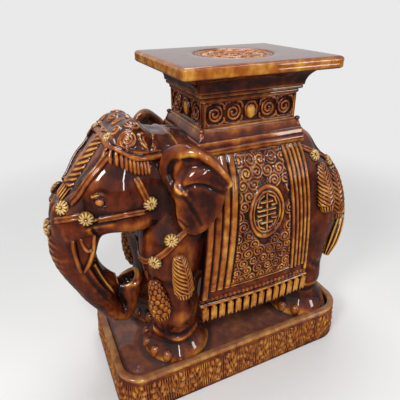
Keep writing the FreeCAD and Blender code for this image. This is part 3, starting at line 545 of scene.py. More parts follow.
class Field:
    # distances to a form at every cell of a box
    def __init__(self, low, high, cell):
        self.cell = cell
        self.start = np.floor(np.asarray(low) / cell).astype(int) - 3
        self.shape = tuple(np.ceil(np.asarray(high) / cell).astype(int) + 4 - self.start)
        self.far = clayField["band"] * cell
        axes = [(self.start[axis] + np.arange(self.shape[axis])) * cell for axis in range(3)]
        self.x = axes[0][:, None, None].astype(np.float32)
        self.y = axes[1][None, :, None].astype(np.float32)
        self.z = axes[2][None, None, :].astype(np.float32)
        self.side = -np.abs(self.y)
        self.values = np.full(self.shape, self.far, np.float32)

    def blend(self, other, reach):
        # a smooth union, which leaves a fillet
        share = np.clip(0.5 + 0.5 * (other - self.values) / reach, 0.0, 1.0)
        self.values = other * (1.0 - share) + self.values * share - reach * share * (1.0 - share)

    def trim(self, other, reach):
        # a smooth cut, which leaves a rounded edge
        share = np.clip(0.5 + 0.5 * (self.values - other) / reach, 0.0, 1.0)
        self.values = self.values * share + other * (1.0 - share) + reach * share * (1.0 - share)

    def node(self, name):
        # one piece of the frame with its hollow filled
        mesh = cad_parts[name].data
        mesh.calc_loop_triangles()
        points = np.empty(len(mesh.vertices) * 3, np.float32)
        mesh.vertices.foreach_get("co", points)
        triangles = np.empty(len(mesh.loop_triangles) * 3, np.int32)
        mesh.loop_triangles.foreach_get("vertices", triangles)
        grid = openvdb.FloatGrid.createLevelSetFromPolygons(
            points=points.reshape(-1, 3), triangles=triangles.reshape(-1, 3).astype(np.uint32),
            transform=openvdb.createLinearTransform(self.cell), halfWidth=clayField["band"])
        values = np.full(self.shape, self.far, np.float32)
        grid.copyToArray(values, ijk=tuple(int(index) for index in self.start))
        clay = values < 0
        between = [np.logical_or.accumulate(clay, axis=axis)
                   & np.flip(np.logical_or.accumulate(np.flip(clay, axis), axis=axis), axis) for axis in range(3)]
        values[~clay & between[1] & (between[0] | between[2])] = -self.far
        return values

    def lump(self, centre, radii, lean=0.0):
        # an egg of clay on both sides, leaning about the cross axis by degrees
        turn = math.radians(lean)
        dx, dy, dz = self.x - centre[0], self.side - centre[1], self.z - centre[2]
        along = dx * math.cos(turn) + dz * math.sin(turn)
        rise = dz * math.cos(turn) - dx * math.sin(turn)
        size = np.sqrt((along / radii[0]) ** 2 + (dy / radii[1]) ** 2 + (rise / radii[2]) ** 2)
        return ((size - 1.0) * min(radii)).astype(np.float32)

    def smooth(self, rounds):
        for _ in range(rounds):
            for axis in range(3):
                self.values = (np.roll(self.values, 1, axis) + 2.0 * self.values + np.roll(self.values, -1, axis)) / 4.0

    def skin(self, name):
        # the form's surface as a mesh of quads
        grid = openvdb.FloatGrid(self.far)
        grid.copyFromArray(self.values.astype(np.float32), ijk=tuple(int(index) for index in self.start))
        grid.transform = openvdb.createLinearTransform(self.cell)
        points, quads = grid.convertToQuads(0.0)
        piece = newPiece(name, points, quads.tolist())
        corners = points[quads[:, :3].astype(int)].astype(float)
        if np.einsum("ij,ij->i", corners[:, 0], np.cross(corners[:, 1], corners[:, 2])).sum() < 0:
            piece.data.flip_normals()
        piece.data.shade_smooth()
        return piece


def carve(piece, strokes):
    # soft strokes pressed into a skin or raised on it, alike on both sides: (line, half width, depth)
    points = meshPoints(piece)
    normals = meshPoints(piece, "normal")
    side = points * (1.0, 0.0, 1.0) - np.abs(points) * (0.0, 1.0, 0.0)
    moved = np.zeros(len(points))
    for line, halfWidth, depth in strokes:
        line = curveThrough(line, 5) if len(line) > 2 else np.asarray(line)
        box = (side > line.min(axis=0) - 3 * halfWidth).all(axis=1) & (side < line.max(axis=0)
                                                                       + 3 * halfWidth).all(axis=1)
        near = np.flatnonzero(box)
        moved[near] += depth * np.exp(-(lineDistance(side[near], line) / halfWidth) ** 2)
    movePoints(piece, points + normals * moved[:, None])


neckCut = -70.0 * mm
bodyNodes = ("torso", "leg_front_left", "leg_front_right", "leg_rear_left", "leg_rear_right")
headNodes = ("head", "trunk", "lower_jaw")
bodyLumps = (
    # centre, radii, lean: haunch, shoulder, knees, croup and the flared feet
    (at(110, -40, 214), at(42, 31, 56), 12.0),
    (at(-84, -42, 220), at(34, 30, 60), -8.0),
    (at(-86, -38, 116), at(30, 30, 20), 0.0),
    (at(118, -41, 108), at(28.5, 28.5, 20), 0.0),
    (at(109, -19, 276), at(47, 33, 33), -35.0),
    (at(94, -24, 298), at(30, 26, 32), -20.0),
    (at(-83, -38, 54), at(44, 43, 13), 0.0),
    (at(120, -40, 54), at(42.5, 42, 13), 0.0),
)
bodyStrokes = (
    # folds at the elbow, wrist and ankle, and round the haunch
    ((at(-118, -40, 186), at(-100, -70, 176), at(-74, -72, 182)), 6.0 * mm, -0.8 * mm),
    ((at(-115, -40, 92), at(-90, -70, 88), at(-62, -58, 92)), 3.0 * mm, -1.3 * mm),
    ((at(-115, -40, 84), at(-90, -70, 80), at(-62, -58, 84)), 3.0 * mm, 1.1 * mm),
    ((at(92, -60, 96), at(118, -72, 90), at(150, -52, 94)), 3.2 * mm, -1.4 * mm),
    ((at(94, -60, 106), at(120, -74, 100), at(150, -54, 104)), 3.2 * mm, 1.0 * mm),
    ((at(86, -74, 186), at(104, -78, 152), at(132, -70, 130)), 5.0 * mm, -1.8 * mm),
    ((at(-118, 0, 300), at(-60, 0, 338), at(20, 0, 332), at(110, 0, 322), at(160, 0, 270)), 9.0 * mm, 1.6 * mm),
)


def makeBody():
    field = Field(at(-132, -92, 46), at(182, 92, 352), clayField["bodyCell"])
    for name in bodyNodes:
        field.blend(field.node(name), clayField["fillet"])
    for centre, radii, lean in bodyLumps:
        field.blend(field.lump(centre, radii, lean), clayField["fillet"])
    field.smooth(2)
    field.values += clayField["shave"]
    piece = field.skin("elephantBody")
    carve(piece, bodyStrokes)
    markCrests(piece, 12, 1.1 * mm, 0.0, -0.30)
    return dress(piece, "bodyGlaze", *bodyNodes)


headLumps = (
    # centre, radii, lean: temple, brow, cheek, upper lip, forehead dome, chin, trunk root, the flared tip
    # with its lip, middle of the forehead, trunk, its lower part and the jaw's barrel
    (at(-134, -37, 291), at(24, 20, 25), 0.0),
    (at(-160, -30, 306), at(15, 15, 15), 0.0),
    (at(-128, -26, 262), at(36, 26, 14), 8.0),
    (at(-186, -20, 262), at(19, 22, 26), -30.0),
    (at(-126, -26, 334), at(26, 24, 25), 0.0),
    (at(-130, -20, 259), at(25, 24, 14), 0.0),
    (at(-178, -12, 232), at(19, 20, 24), 0.0),
    (at(-129, 0, 134), at(20, 17, 26), 8.0),
    (at(-110, 0, 150), at(8, 12, 17), 16.0),
    (at(-146, 0, 322), at(24, 22, 28), 0.0),
    (at(-184, 0, 180), at(22, 21, 34), 0.0),
    (at(-176, 0, 152), at(27, 19, 30), 0.0),
    (at(-125, -36, 260), at(20, 19, 13), 6.0),
)
trunkLine = curveThrough([at(-181, 0, 262), at(-191, 0, 235.6), at(-196, 0, 207.5), at(-195, 0, 179.5),
                          at(-187, 0, 151.5),
                          at(-175, 0, 125), at(-159, 0, 103), at(-141, 0, 97), at(-127, 0, 108), at(-121, 0, 131)], 10)
foreheadCut = {"place": at(-152.5, 0, 335.0), "slope": (-0.755, 0.656), "low": 282.0 * mm, "reach": 11.0 * mm}
trunkNarrow = {"middle": -150.0 * mm, "heights": at(150, 172, 194), "shares": (0.68, 0.80, 0.91, 1.0),
               "outerShares": (0.81, 0.89, 0.96, 1.0), "tipLow": 118.0 * mm, "tipShare": 0.80, "above": 214.0 * mm,
               "shifts": ((88, 3), (108, 3), (128, 2), (150, 0), (172, 0), (194, 0), (214, 0))}
trunkFolds = {"pitch": 7.6 * mm, "width": 1.5 * mm, "depth": 1.5 * mm, "start": 26.0 * mm, "end": 196.0 * mm}
tipHollow = (at(-132, 0, 162), at(16, 12, 27), 20.0)
mouthGap = {"place": at(-139, 0, 202), "radii": at(30, 0, 43), "square": 2.6, "edge": 7.0 * mm}
headStrokes = (
    # the cheek line and its ridge, the lip fold, brow creases, jaw barrel, trunk ridges and tip rim
    ((at(-178, -42, 262), at(-160, -50, 266), at(-138, -52, 271), at(-116, -54, 275)), 2.6 * mm, -2.4 * mm),
    ((at(-178, -42, 268), at(-160, -50, 272), at(-138, -54, 277)), 2.4 * mm, 1.4 * mm),
    ((at(-176, -40, 268), at(-172, -42, 254), at(-166, -36, 236)), 2.2 * mm, -1.8 * mm),
    ((at(-166, -48, 292), at(-160, -50, 295), at(-153, -50, 291)), 1.5 * mm, -1.6 * mm),
    ((at(-168, -46, 297), at(-160, -50, 300), at(-150, -52, 295)), 1.8 * mm, 1.2 * mm),
    ((at(-196, -18, 292), at(-184, -22, 306), at(-170, -24, 320)), 4.0 * mm, 1.2 * mm),
    ((at(-150, -40, 276), at(-149, -44, 262), at(-146, -36, 250)), 2.2 * mm, -2.2 * mm),
    ((at(-114, -52, 274), at(-111, -50, 262), at(-111, -42, 250)), 2.2 * mm, -2.0 * mm),
    ((at(-184, -29, 200), at(-177, -27, 172), at(-164, -24, 144), at(-150, -22, 122), at(-138, -20, 112)), 2.6 * mm,
     2.0 * mm),
    ((at(-190, -31, 200), at(-184, -29, 172), at(-172, -26, 142), at(-158, -23, 118), at(-146, -20, 106)), 2.4 * mm,
     -1.7 * mm),
    ((at(-176, -22, 196), at(-169, -20, 168), at(-157, -18, 142), at(-146, -18, 126)), 2.2 * mm, 1.5 * mm),
)


def carveTrunkFolds(piece):
    # shallow rings across the trunk, deepest along its outer side
    points = meshPoints(piece)
    normals = meshPoints(piece, "normal")
    lengths = lengthsAlong(trunkLine)
    near = np.flatnonzero((points[:, 2] < 262 * mm) & (points[:, 0] < -112 * mm) & (np.abs(points[:, 1]) < 40 * mm))
    nearest = np.full(len(near), 1e9)
    along = np.zeros(len(near))
    outer = np.zeros(len(near))
    for index in range(len(trunkLine) - 1):
        start, span = trunkLine[index], trunkLine[index + 1] - trunkLine[index]
        share = np.clip(((points[near] - start) @ span) / (span @ span), 0.0, 1.0)
        reach = points[near] - start - share[:, None] * span
        distance = np.linalg.norm(reach * (1.0, 0.35, 1.0), axis=1)
        closer = distance < nearest
        nearest[closer] = distance[closer]
        along[closer] = (lengths[index] + share * np.linalg.norm(span))[closer]
        outward = np.array((span[2], 0.0, -span[0])) / np.linalg.norm(span)
        outer[closer] = (normals[near] @ outward)[closer]
    pitch = trunkFolds["pitch"]
    fold = np.abs((along / pitch) % 1.0 - 0.5) * pitch
    inside = np.clip((along - trunkFolds["start"]) / pitch, 0, 1) * np.clip((trunkFolds["end"] - along) / pitch, 0, 1)
    strength = inside * np.clip(outer * 1.6 - 0.5, 0.0, 1.0) * np.exp(-(points[near, 1] / (13.0 * mm)) ** 2)
    depth = trunkFolds["depth"] * strength * np.exp(-(fold / trunkFolds["width"]) ** 2)
    points[near] -= normals[near] * depth[:, None]
    movePoints(piece, points)


def narrowTrunk(piece):
    # the crook of the trunk drawn together about its middle
    points = meshPoints(piece)
    heights = (*trunkNarrow["heights"], trunkNarrow["above"])
    share = np.where(points[:, 0] < trunkNarrow["middle"], np.interp(points[:, 2], heights, trunkNarrow["outerShares"]),
                     np.interp(points[:, 2], heights, trunkNarrow["shares"]))
    inCrook = (points[:, 2] < trunkNarrow["above"]) & ((points[:, 0] < -140 * mm) | (points[:, 2] < 195 * mm))
    drawn = trunkNarrow["middle"] + (points[:, 0] - trunkNarrow["middle"]) * share
    heights, shifts = zip(*trunkNarrow["shifts"])
    back = np.interp(points[:, 2], np.array(heights) * mm, np.array(shifts) * mm)
    drawn += back * np.clip((-138.0 * mm - drawn) / (26.0 * mm), 0.0, 1.0)
    points[:, 0] = np.where(inCrook, drawn, points[:, 0])
    over = np.where(inCrook & (points[:, 0] > -148.0 * mm), np.maximum(points[:, 2] - trunkNarrow["tipLow"], 0.0), 0.0)
    points[:, 2] -= over * (1.0 - trunkNarrow["tipShare"])
    movePoints(piece, points)


def makeHead():
    field = Field(at(-228, -74, 90), at(-60, 74, 372), clayField["headCell"])
    for name in headNodes:
        field.blend(field.node(name), clayField["headFillet"])
    for centre, radii, lean in headLumps:
        field.blend(field.lump(centre, radii, lean), clayField["lumpFillet"])
    cut = foreheadCut
    slope = (field.x - cut["place"][0]) * cut["slope"][0] + (field.z - cut["place"][2]) * cut["slope"][1]
    field.trim(slope - 1.4 * np.maximum(cut["low"] - field.z, 0.0), cut["reach"])
    # the neck swells into the torso's own skin, a hair under it
    reach = field.values - clayField["neckFillet"]
    field.blend(field.node("torso") + clayField["neckSink"], clayField["neckFillet"])
    field.values = np.maximum(np.maximum(field.values, reach), field.x - neckCut)
    across = (field.x - mouthGap["place"][0]) / mouthGap["radii"][0]
    rise = (field.z - mouthGap["place"][2]) / mouthGap["radii"][2]
    square = mouthGap["square"]
    gap = 1.0 - (np.abs(across) ** square + np.abs(rise) ** square) ** (1.0 / square)
    field.trim(gap * mouthGap["radii"][0], mouthGap["edge"])
    centre, radii, lean = tipHollow
    field.values = np.maximum(field.values, -field.lump(centre, radii, lean))
    field.smooth(2)
    piece = field.skin("elephantHead")
    carve(piece, headStrokes)
    carveTrunkFolds(piece)
    narrowTrunk(piece)
    markCrests(piece, 14, 0.8 * mm, 0.0, -0.35)
    return dress(piece, "bodyGlaze", *headNodes)


def surfaceOf(*pieces):
    points, faces = [], []
    for piece in pieces:
        start = sum(len(block) for block in points)
        points.append(meshPoints(piece))
        faces += [[start + corner for corner in face.vertices] for face in piece.data.polygons]
    return BVHTree.FromPolygons(np.concatenate(points).tolist(), faces)


def laidOn(surface, line, lift=0.0):
    # a line dropped to the nearest skin, with the skin's facing along it
    placed, facing = [], []
    for point in line:
        spot, normal, _, _ = surface.find_nearest(Vector(point))
        placed.append(np.array(spot) + np.array(normal) * lift)
        facing.append(np.array(normal))
    return np.array(placed), np.array(facing)


body = makeBody()
head = makeHead()
print("body and head sculpted:", len(body.data.polygons), "and", len(head.data.polygons), "faces")


# Ears, cut from the frame's ears and given their lobes and creases
earPlace = {"root": at(-114, -49, 234), "length": 84.0 * mm, "flare": 42.0 * mm, "height": 116.0 * mm}
earDrawn = {"root": at(-97, -49, 244), "length": 60.0 / 84.0, "height": 100.0 / 116.0, "pressedFrom": 94.0 * mm,
            "pressed": 0.24}
earFlare = ((0.0, 0.08, 0.22, 0.42, 0.62, 0.80, 0.93, 1.0), (0.0, 0.12, 0.34, 0.62, 0.84, 0.95, 1.0, 1.01))
earLumps = (
    # along, height, out, radii, lean: the crescent under the rim and the leaf that hangs below it
    (0.56, 0.73, 2.5, at(24, 6, 9), 20.0),
    (0.42, 0.36, 2.0, at(24, 8, 34), -20.0),
)
earStrokes = (
    (((0.17, 0.57), (0.13, 0.70), (0.20, 0.86), (0.38, 0.955), (0.60, 0.93), (0.84, 0.80), (1.0, 0.62)), 5.4 * mm,
     2.8 * mm),
    (((0.24, 0.60), (0.235, 0.72), (0.31, 0.82), (0.44, 0.855), (0.60, 0.82), (0.78, 0.72), (0.90, 0.64)), 3.6 * mm,
     -1.7 * mm),
    (((0.17, 0.60), (0.20, 0.56), (0.25, 0.545)), 4.6 * mm, 3.0 * mm),
    (((0.28, 0.625), (0.40, 0.64), (0.54, 0.62), (0.70, 0.575), (0.90, 0.53)), 3.6 * mm, -1.5 * mm),
    (((0.30, 0.63), (0.40, 0.64), (0.52, 0.625), (0.62, 0.60)), 2.6 * mm, -1.0 * mm),
    (((0.23, 0.53), (0.31, 0.43), (0.42, 0.29), (0.50, 0.14)), 3.6 * mm, -1.6 * mm),
    (((0.05, 0.40), (0.12, 0.31), (0.19, 0.22), (0.28, 0.13)), 2.6 * mm, -1.2 * mm),
)


def earAt(along, height, out=0.0):
    outward = np.interp(along, *earFlare)
    return earPlace["root"] + np.array((along * earPlace["length"], -outward * earPlace["flare"] - out * mm,
                                        height * earPlace["height"]))


def makeEars():
    low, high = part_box("ear_left")
    field = Field(np.array(low) - 6 * mm, np.array(high) + 6 * mm, clayField["earCell"])
    field.blend(field.node("ear_left"), clayField["earFillet"])
    for along, height, out, radii, lean in earLumps:
        field.blend(field.lump(earAt(along, height, out), radii, lean), clayField["lumpFillet"])
    field.smooth(4)
    left = field.skin("earLeft")
    surface = surfaceOf(left)
    strokes = []
    for line, halfWidth, depth in earStrokes:
        line = curveThrough([earAt(along, height, 16.0) for along, height in line], 5)
        strokes.append((laidOn(surface, line)[0], halfWidth, depth))
    carve(left, strokes)
    points = meshPoints(left)
    points[:, 0] = earDrawn["root"][0] + (points[:, 0] - earPlace["root"][0]) * earDrawn["length"]
    points[:, 2] = earDrawn["root"][2] + (points[:, 2] - earPlace["root"][2]) * earDrawn["height"]
    points[:, 1] += earDrawn["pressed"] * np.maximum(-points[:, 1] - earDrawn["pressedFrom"], 0.0)
    movePoints(left, points)
    markCrests(left, 14, 1.5 * mm, 0.06, -0.12)
    right = mirrorOf(left, "earRight")
    dress(left, "bodyGlaze", "ear_left")
    dress(right, "bodyGlaze", "ear_right")
    return left, right


def mirrorOf(piece, name):
    # the same piece on the elephant's right side
    twin = piece.copy()
    twin.data = piece.data.copy()
    twin.name = twin.data.name = name
    bpy.context.scene.collection.objects.link(twin)
    movePoints(twin, meshPoints(twin) * (1.0, -1.0, 1.0))
    twin.data.flip_normals()
    return twin


def pair(piece, glazeName, node):
    # a left piece and its mirror image, named after the node that each stands for
    base = piece.name
    twin = mirrorOf(piece, base + "Right")
    piece.name = piece.data.name = base + "Left"
    dress(piece, glazeName, node + "_left")
    dress(twin, glazeName, node + "_right")


def bothSides(places):
    # places on the left, then the same on the right
    twins = [tuple(np.asarray(value) * (1.0, -1.0, 1.0) if np.ndim(value) == 1 and index < 3 else value
                   for index, value in enumerate(place)) for place in places]
    return list(places) + twins


ears = makeEars()
skin = surfaceOf(head)
print("ears sculpted")


# Eyes, tusks and tail
eyeLook = {"place": at(-168, -60, 292), "ball": at(5.4, 4.4, 3.4), "dull": 0.6, "reach": 7.0 * mm,
           # bow, lift and thickness of each fold
           "lids": ((4.9, 0.4, 1.35), (7.6, 1.4, 1.0), (-4.6, -0.2, 1.0), (-7.2, -0.9, 0.7))}


def makeEyes():
    spot, facing = laidOn(skin, [eyeLook["place"]])
    spot, facing = spot[0], facing[0]
    across = np.cross(up, facing)
    across /= np.linalg.norm(across)
    rise = np.cross(facing, across)
    eyeball = sprigs("eyeBall", ball, [(spot + facing * 0.6 * mm, facing, up, eyeLook["ball"])], "bodyGlaze")
    dulled(eyeball, eyeLook["dull"])
    lids = []
    for bow, lift, thickness in eyeLook["lids"]:
        reach = np.linspace(-1.0, 1.0, 15)
        line = [spot + across * (eyeLook["reach"] * share)
                + rise * mm * (bow * math.sqrt(max(1.0 - share * share * 0.92, 0.0)) + lift)
                - rise * mm * 1.6 * share for share in reach]
        placed, facings = laidOn(skin, line, 0.2 * mm)
        lids.append((placed, roundEnds(len(line), thickness * mm, 0.35), facings * 0.5))
    lidPiece = coils("eyeLids", lids, "bodyGlaze", 8)
    pair(joined("eye", [eyeball, lidPiece]), "bodyGlaze", "eye")


def tubeRings(line, radii, columns, relief=None, flat=1.0, reference=(1.0, 0.0, 0.0)):
    # rings square to a line; relief gives the rise at (share along, turn), flat squeezes their depth
    line = np.asarray(line)
    forward = unit(np.gradient(line, axis=0))
    across = unit(np.cross(forward, reference))
    outward = np.cross(across, forward)
    turn = 2.0 * np.pi * np.arange(columns) / columns
    along = np.linspace(0.0, 1.0, len(line))
    reach = np.broadcast_to(np.asarray(radii)[:, None], (len(line), columns)).copy()
    if relief is not None:
        reach = reach + relief(along[:, None], turn[None, :])
    return (line[:, None] + across[:, None] * (reach * np.cos(turn) * flat)[..., None]
            + outward[:, None] * (reach * np.sin(turn))[..., None])


tuskLook = {
    "line": (at(-181, -26, 256), at(-183, -33, 238), at(-187, -36, 220), at(-191, -37, 203)),
    "shares": (0, 0.25, 0.7, 0.93, 1.0), "radii": (12.5, 11.5, 8.0, 4.8, 1.6), "flat": 0.72,
    # the folds of the lip round the sheath, each with its thickness
    "folds": (((at(-193, -33, 252), at(-195, -38, 236), at(-194, -41, 219), at(-191.5, -41, 202)), 2.6),
              ((at(-171, -35, 247), at(-174.5, -39, 231), at(-181, -41.5, 216), at(-190, -41.5, 203)), 2.6),
              ((at(-187, -36.5, 250), at(-185, -40, 238), at(-181.5, -41.5, 231), at(-175, -40, 230)), 2.1)),
}


def makeTusks():
    line = curveThrough(tuskLook["line"], 8)
    radii = np.interp(np.linspace(0, 1, len(line)), tuskLook["shares"], tuskLook["radii"]) * mm
    sheath = ringPiece("tuskSheath", tubeRings(line, radii, 28, None, tuskLook["flat"]), 0.1, False)
    folds = []
    for points, thickness in tuskLook["folds"]:
        line = curveThrough(points, 8)
        folds.append((line, roundEnds(len(line), thickness * 1.2 * mm, 0.2), np.array((-0.20, -0.62, 0.05))))
    pair(joined("tusk", [sheath, coils("tuskFolds", folds, "bodyGlaze", 10)]), "bodyGlaze", "tusk")


tailLook = {
    "line": (at(140, -2, 276), at(170, -10, 264), at(180.5, -30, 236), at(172, -52, 204), at(158, -61, 168),
             at(150, -62, 138)),
    "sizes": (1.2, 1.0, 0.80, 0.85, 1.15, 0.5), "radius": 8.0, "brush": 0.60,
}


def makeTail():
    line = curveThrough(tailLook["line"], 14)
    size = curveThrough([(size, 0.0, 0.0) for size in tailLook["sizes"]], 14)[:, 0] * tailLook["radius"] * mm

    def hair(along, turn):
        brush = np.clip((along - tailLook["brush"]) / 0.06, 0.0, 1.0)
        return mm * (brush * np.cos(9.0 * turn + 5.0 * along) - (1.0 - brush) * 0.5 * np.cos(along * 150.0))
    piece = ringPiece("tail", tubeRings(line, size, 54, hair, 1.0, (0.0, 1.0, 0.0)), None, False)
    markCrests(piece, 4, 0.5 * mm, 0.05)
    dress(piece, "bodyGlaze", "tail")


makeEyes()
makeTusks()
makeTail()


# Tassels: a moulded drop of scales or leaves that ends in strands
tasselLook = {"rows": 76, "columns": 48, "scaleRows": 8, "scaleAround": 9, "scaleRise": 1.5 * mm, "strands": 8,
              "strandRise": 1.6 * mm}


def tasselRelief(style):
    def scales(along, turn):
        row = along * tasselLook["scaleRows"] * 1.25
        count = tasselLook["scaleAround"]
        shift = np.floor(row) % 2 * 0.5
        down = row % 1.0 - 0.45
        around = (turn / (2.0 * np.pi) * count + shift) % 1.0 - 0.5
        return np.sqrt(np.clip(1.0 - (down / 0.55) ** 2 - (around / 0.48) ** 2, 0.0, 1.0))

    def leaves(along, turn):
        across = np.arccos(np.clip(np.cos(turn - style), -1.0, 1.0))
        vein = 0.9 * np.exp(-(across / 0.13) ** 2)
        return np.maximum(np.abs(np.cos(np.pi * (along * 13.0 + across * 1.3))), vein)

    def relief(along, turn):
        pattern = scales(along, turn) if style is None else leaves(along, turn)
        strand = np.abs(np.cos(tasselLook["strands"] * turn + 0.6 * along))
        lower = np.clip((along - 0.78) / 0.04, 0.0, 1.0)
        cuff = np.exp(-((along - 0.77) / 0.02) ** 2)
        return (pattern * (1.0 - lower) * tasselLook["scaleRise"]
                + (strand * lower - 0.5 * lower) * tasselLook["strandRise"]
                + cuff * 0.8 * mm)
    return relief


def tassel(name, places, radius, style, flat=0.8, bulge=(0.25, 0.48, 0.66, 0.90, 1.06, 1.04, 0.84, 0.42)):
    line = curveThrough(places, tasselLook["rows"] // (len(places) - 1))
    along = np.linspace(0.0, 1.0, len(line))
    size = np.interp(along, (0.0, 0.05, 0.16, 0.36, 0.58, 0.76, 0.93, 1.0), bulge) * radius
    rings = tubeRings(line, size, tasselLook["columns"], tasselRelief(style))
    rings = line[:, None] + (rings - line[:, None]) * np.array((1.0, flat, 1.0))
    piece = ringPiece(name, rings, None, False)
    markCrests(piece, 3, 0.45 * mm, 0.10)
    return piece


def makeTassels():
    pair(joined("breastTassels", [
        tassel("upper", [at(-89, -77, 220), at(-86, -78, 190), at(-82, -75, 154)], 10.4 * mm, 0.25),
        tassel("lower", [at(-116, -62, 182), at(-112, -64, 152), at(-106, -62, 119)], 10.4 * mm, None)]),
        "ornamentGlaze", "breast_tassels")
    bodySkin = surfaceOf(body)
    rump = []
    for name, places in (("front", [at(110, -62, 290), at(117, -72, 258), at(121, -76, 225)]),
                         ("rear", [at(150, -50, 270), at(157, -60, 234), at(160, -62, 197)])):
        rump.append(tassel(name, laidOn(bodySkin, places, 3.0 * mm)[0], 9.8 * mm, -0.2))
    pair(joined("rumpTassels", rump), "ornamentGlaze", "rump_tassels")
    band = laidOn(skin, [at(-141, 0, 356), at(-158, 0, 342), at(-176, 0, 322), at(-191, 0, 303), at(-202, 0, 286)],
                  -2.2 * mm)[0]
    forehead = tassel("foreheadTassel", band, 6.4 * mm, 1.5 * np.pi, 2.0, (0.70, 0.78, 0.84, 0.92, 1.0, 1.02, 1.0, 0.6))
    dress(forehead, "ornamentGlaze", "forehead_tassel")


makeTassels()
print("tassels hung")


# Relief patterns, in distances across and up a flat pattern
def ridge(distance, halfWidth):
    return np.sqrt(np.clip(1.0 - (distance / halfWidth) ** 2, 0.0, 1.0))


def scrollRelief(across, rise, places, radius, pitch):
    # rolled scrolls: (across, rise, hand, phase, size) each; a raised coil that winds in to a bead
    height = np.zeros(np.broadcast(across, rise).shape)
    for x, z, hand, phase, size in places:
        reach = radius * size
        near = (np.abs(across - x) < reach) & (np.abs(rise - z) < reach)
        dx, dz = (across - x)[near], (rise - z)[near]
        distance = np.hypot(dx, dz)
        wave = distance / pitch - hand * np.arctan2(dz, dx) / (2.0 * np.pi) + phase
        coil = np.abs(np.cos(np.pi * wave)) ** 0.7
        edge = np.clip((reach - distance) / (0.35 * pitch), 0.0, 1.0)
        bead = ridge(distance, 0.45 * pitch)
        height[near] = np.maximum(height[near],
                                  np.maximum(coil * edge, bead) * (0.75 + 0.25 * np.clip(1.0 - distance / reach, 0, 1)))
    return height


def closedSheet(name, front, inward, crest):
    # a relief sheet closed behind: its border is drawn inward and spanned by long faces
    rows, columns = front.shape[:2]
    points = front.reshape(-1, 3)
    left = front[:, 0] + inward[:, 0]
    right = front[:, -1] + inward[:, -1]
    first = rows * columns
    second = first + rows
    faces = gridFaces(rows, columns)
    for row in range(rows - 1):
        faces.append([row * columns, (row + 1) * columns, first + row + 1, first + row])
        faces.append([row * columns + columns - 1, second + row, second + row + 1, (row + 1) * columns + columns - 1])
        faces.append([first + row, first + row + 1, second + row + 1, second + row])
    top = list(range(columns))
    hem = [(rows - 1) * columns + column for column in range(columns)]
    faces.append(top[::-1] + [first, second])
    faces.append(hem + [second + rows - 1, first + rows - 1])
    values = np.concatenate((crest.ravel(), crest[:, 0], crest[:, -1]))
    return faceOut(newPiece(name, np.concatenate((points, left, right)), faces, values), weld=False)


def softened(height, rounds):
    for _ in range(rounds):
        for axis in (0, 1):
            padded = np.pad(height, [(1, 1) if index == axis else (0, 0) for index in (0, 1)], mode="edge")
            middle = [slice(None), slice(None)]
            before, after = list(middle), list(middle)
            before[axis], after[axis] = slice(0, -2), slice(2, None)
            height = (padded[tuple(before)] + 2.0 * height + padded[tuple(after)]) / 4.0
    return height


# Saddle cloth: rolled borders, a field of scrolls and a longevity roundel
clothLook = {"rows": 300, "columns": 226, "relief": 3.0 * mm, "frontRibs": 4, "frontPitch": 9.6 * mm, "rearRibs": 5,
             "rearPitch": 6.0 * mm, "hemBand": 12.0 * mm, "fieldLow": 27.0 * mm, "scroll": 9.0 * mm,
             "coilPitch": 3.7 * mm,
             "thickness": 6.0 * mm, "sink": 1.2 * mm, "highest": 321.6 * mm, "lowest": 132.4 * mm}
clothTop = {"x": 16.0 * mm, "half": 65.0 * mm, "z": 328.0 * mm}
clothHem = {"x": 17.5 * mm, "half": 81.0 * mm, "z": 132.0 * mm}
roundel = {"x": 22.5 * mm, "z": 251.0 * mm, "halfWidth": 22.5 * mm, "halfHeight": 31.0 * mm, "bar": 1.5 * mm}
fretBars = (
    ((0.0, 0.74), (0.0, -0.74)),
    ((-0.52, 0.10), (0.52, 0.10)),
    ((-0.52, -0.10), (0.52, -0.10)),
    ((-0.34, 0.42), (0.34, 0.42)),
    ((-0.34, -0.42), (0.34, -0.42)),
    ((0.16, 0.68), (0.46, 0.56), (0.60, 0.28), (0.34, 0.26)),
    ((-0.16, 0.68), (-0.46, 0.56), (-0.60, 0.28), (-0.34, 0.26)),
    ((0.16, -0.68), (0.46, -0.56), (0.60, -0.28), (0.34, -0.26)),
    ((-0.16, -0.68), (-0.46, -0.56), (-0.60, -0.28), (-0.34, -0.26)),
)


def frameSurface(node):
    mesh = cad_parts[node].data
    return BVHTree.FromPolygons([vertex.co[:] for vertex in mesh.vertices],
                                [face.vertices[:] for face in mesh.polygons])


def clothScrolls():
    # scrolls in staggered rows, jittered by a fixed seed and kept off the roundel
    dice = random.Random(7)
    places = []
    pitch = clothLook["scroll"] * 1.62
    for row in range(16):
        for column in range(14):
            x = (-60.0 * mm) + (column + 0.5 * (row % 2)) * pitch + dice.uniform(-1.2, 1.2) * mm
            z = 150.0 * mm + row * pitch * 0.86 + dice.uniform(-1.2, 1.2) * mm
            clear = math.hypot((x - roundel["x"]) / roundel["halfWidth"], (z - roundel["z"]) / roundel["halfHeight"])
            size = dice.uniform(0.85, 1.12)
            hand, phase = dice.choice((-1, 1)), dice.random()
            if clear > 1.28:
                places.append((x, z, hand, phase, size))
    return places


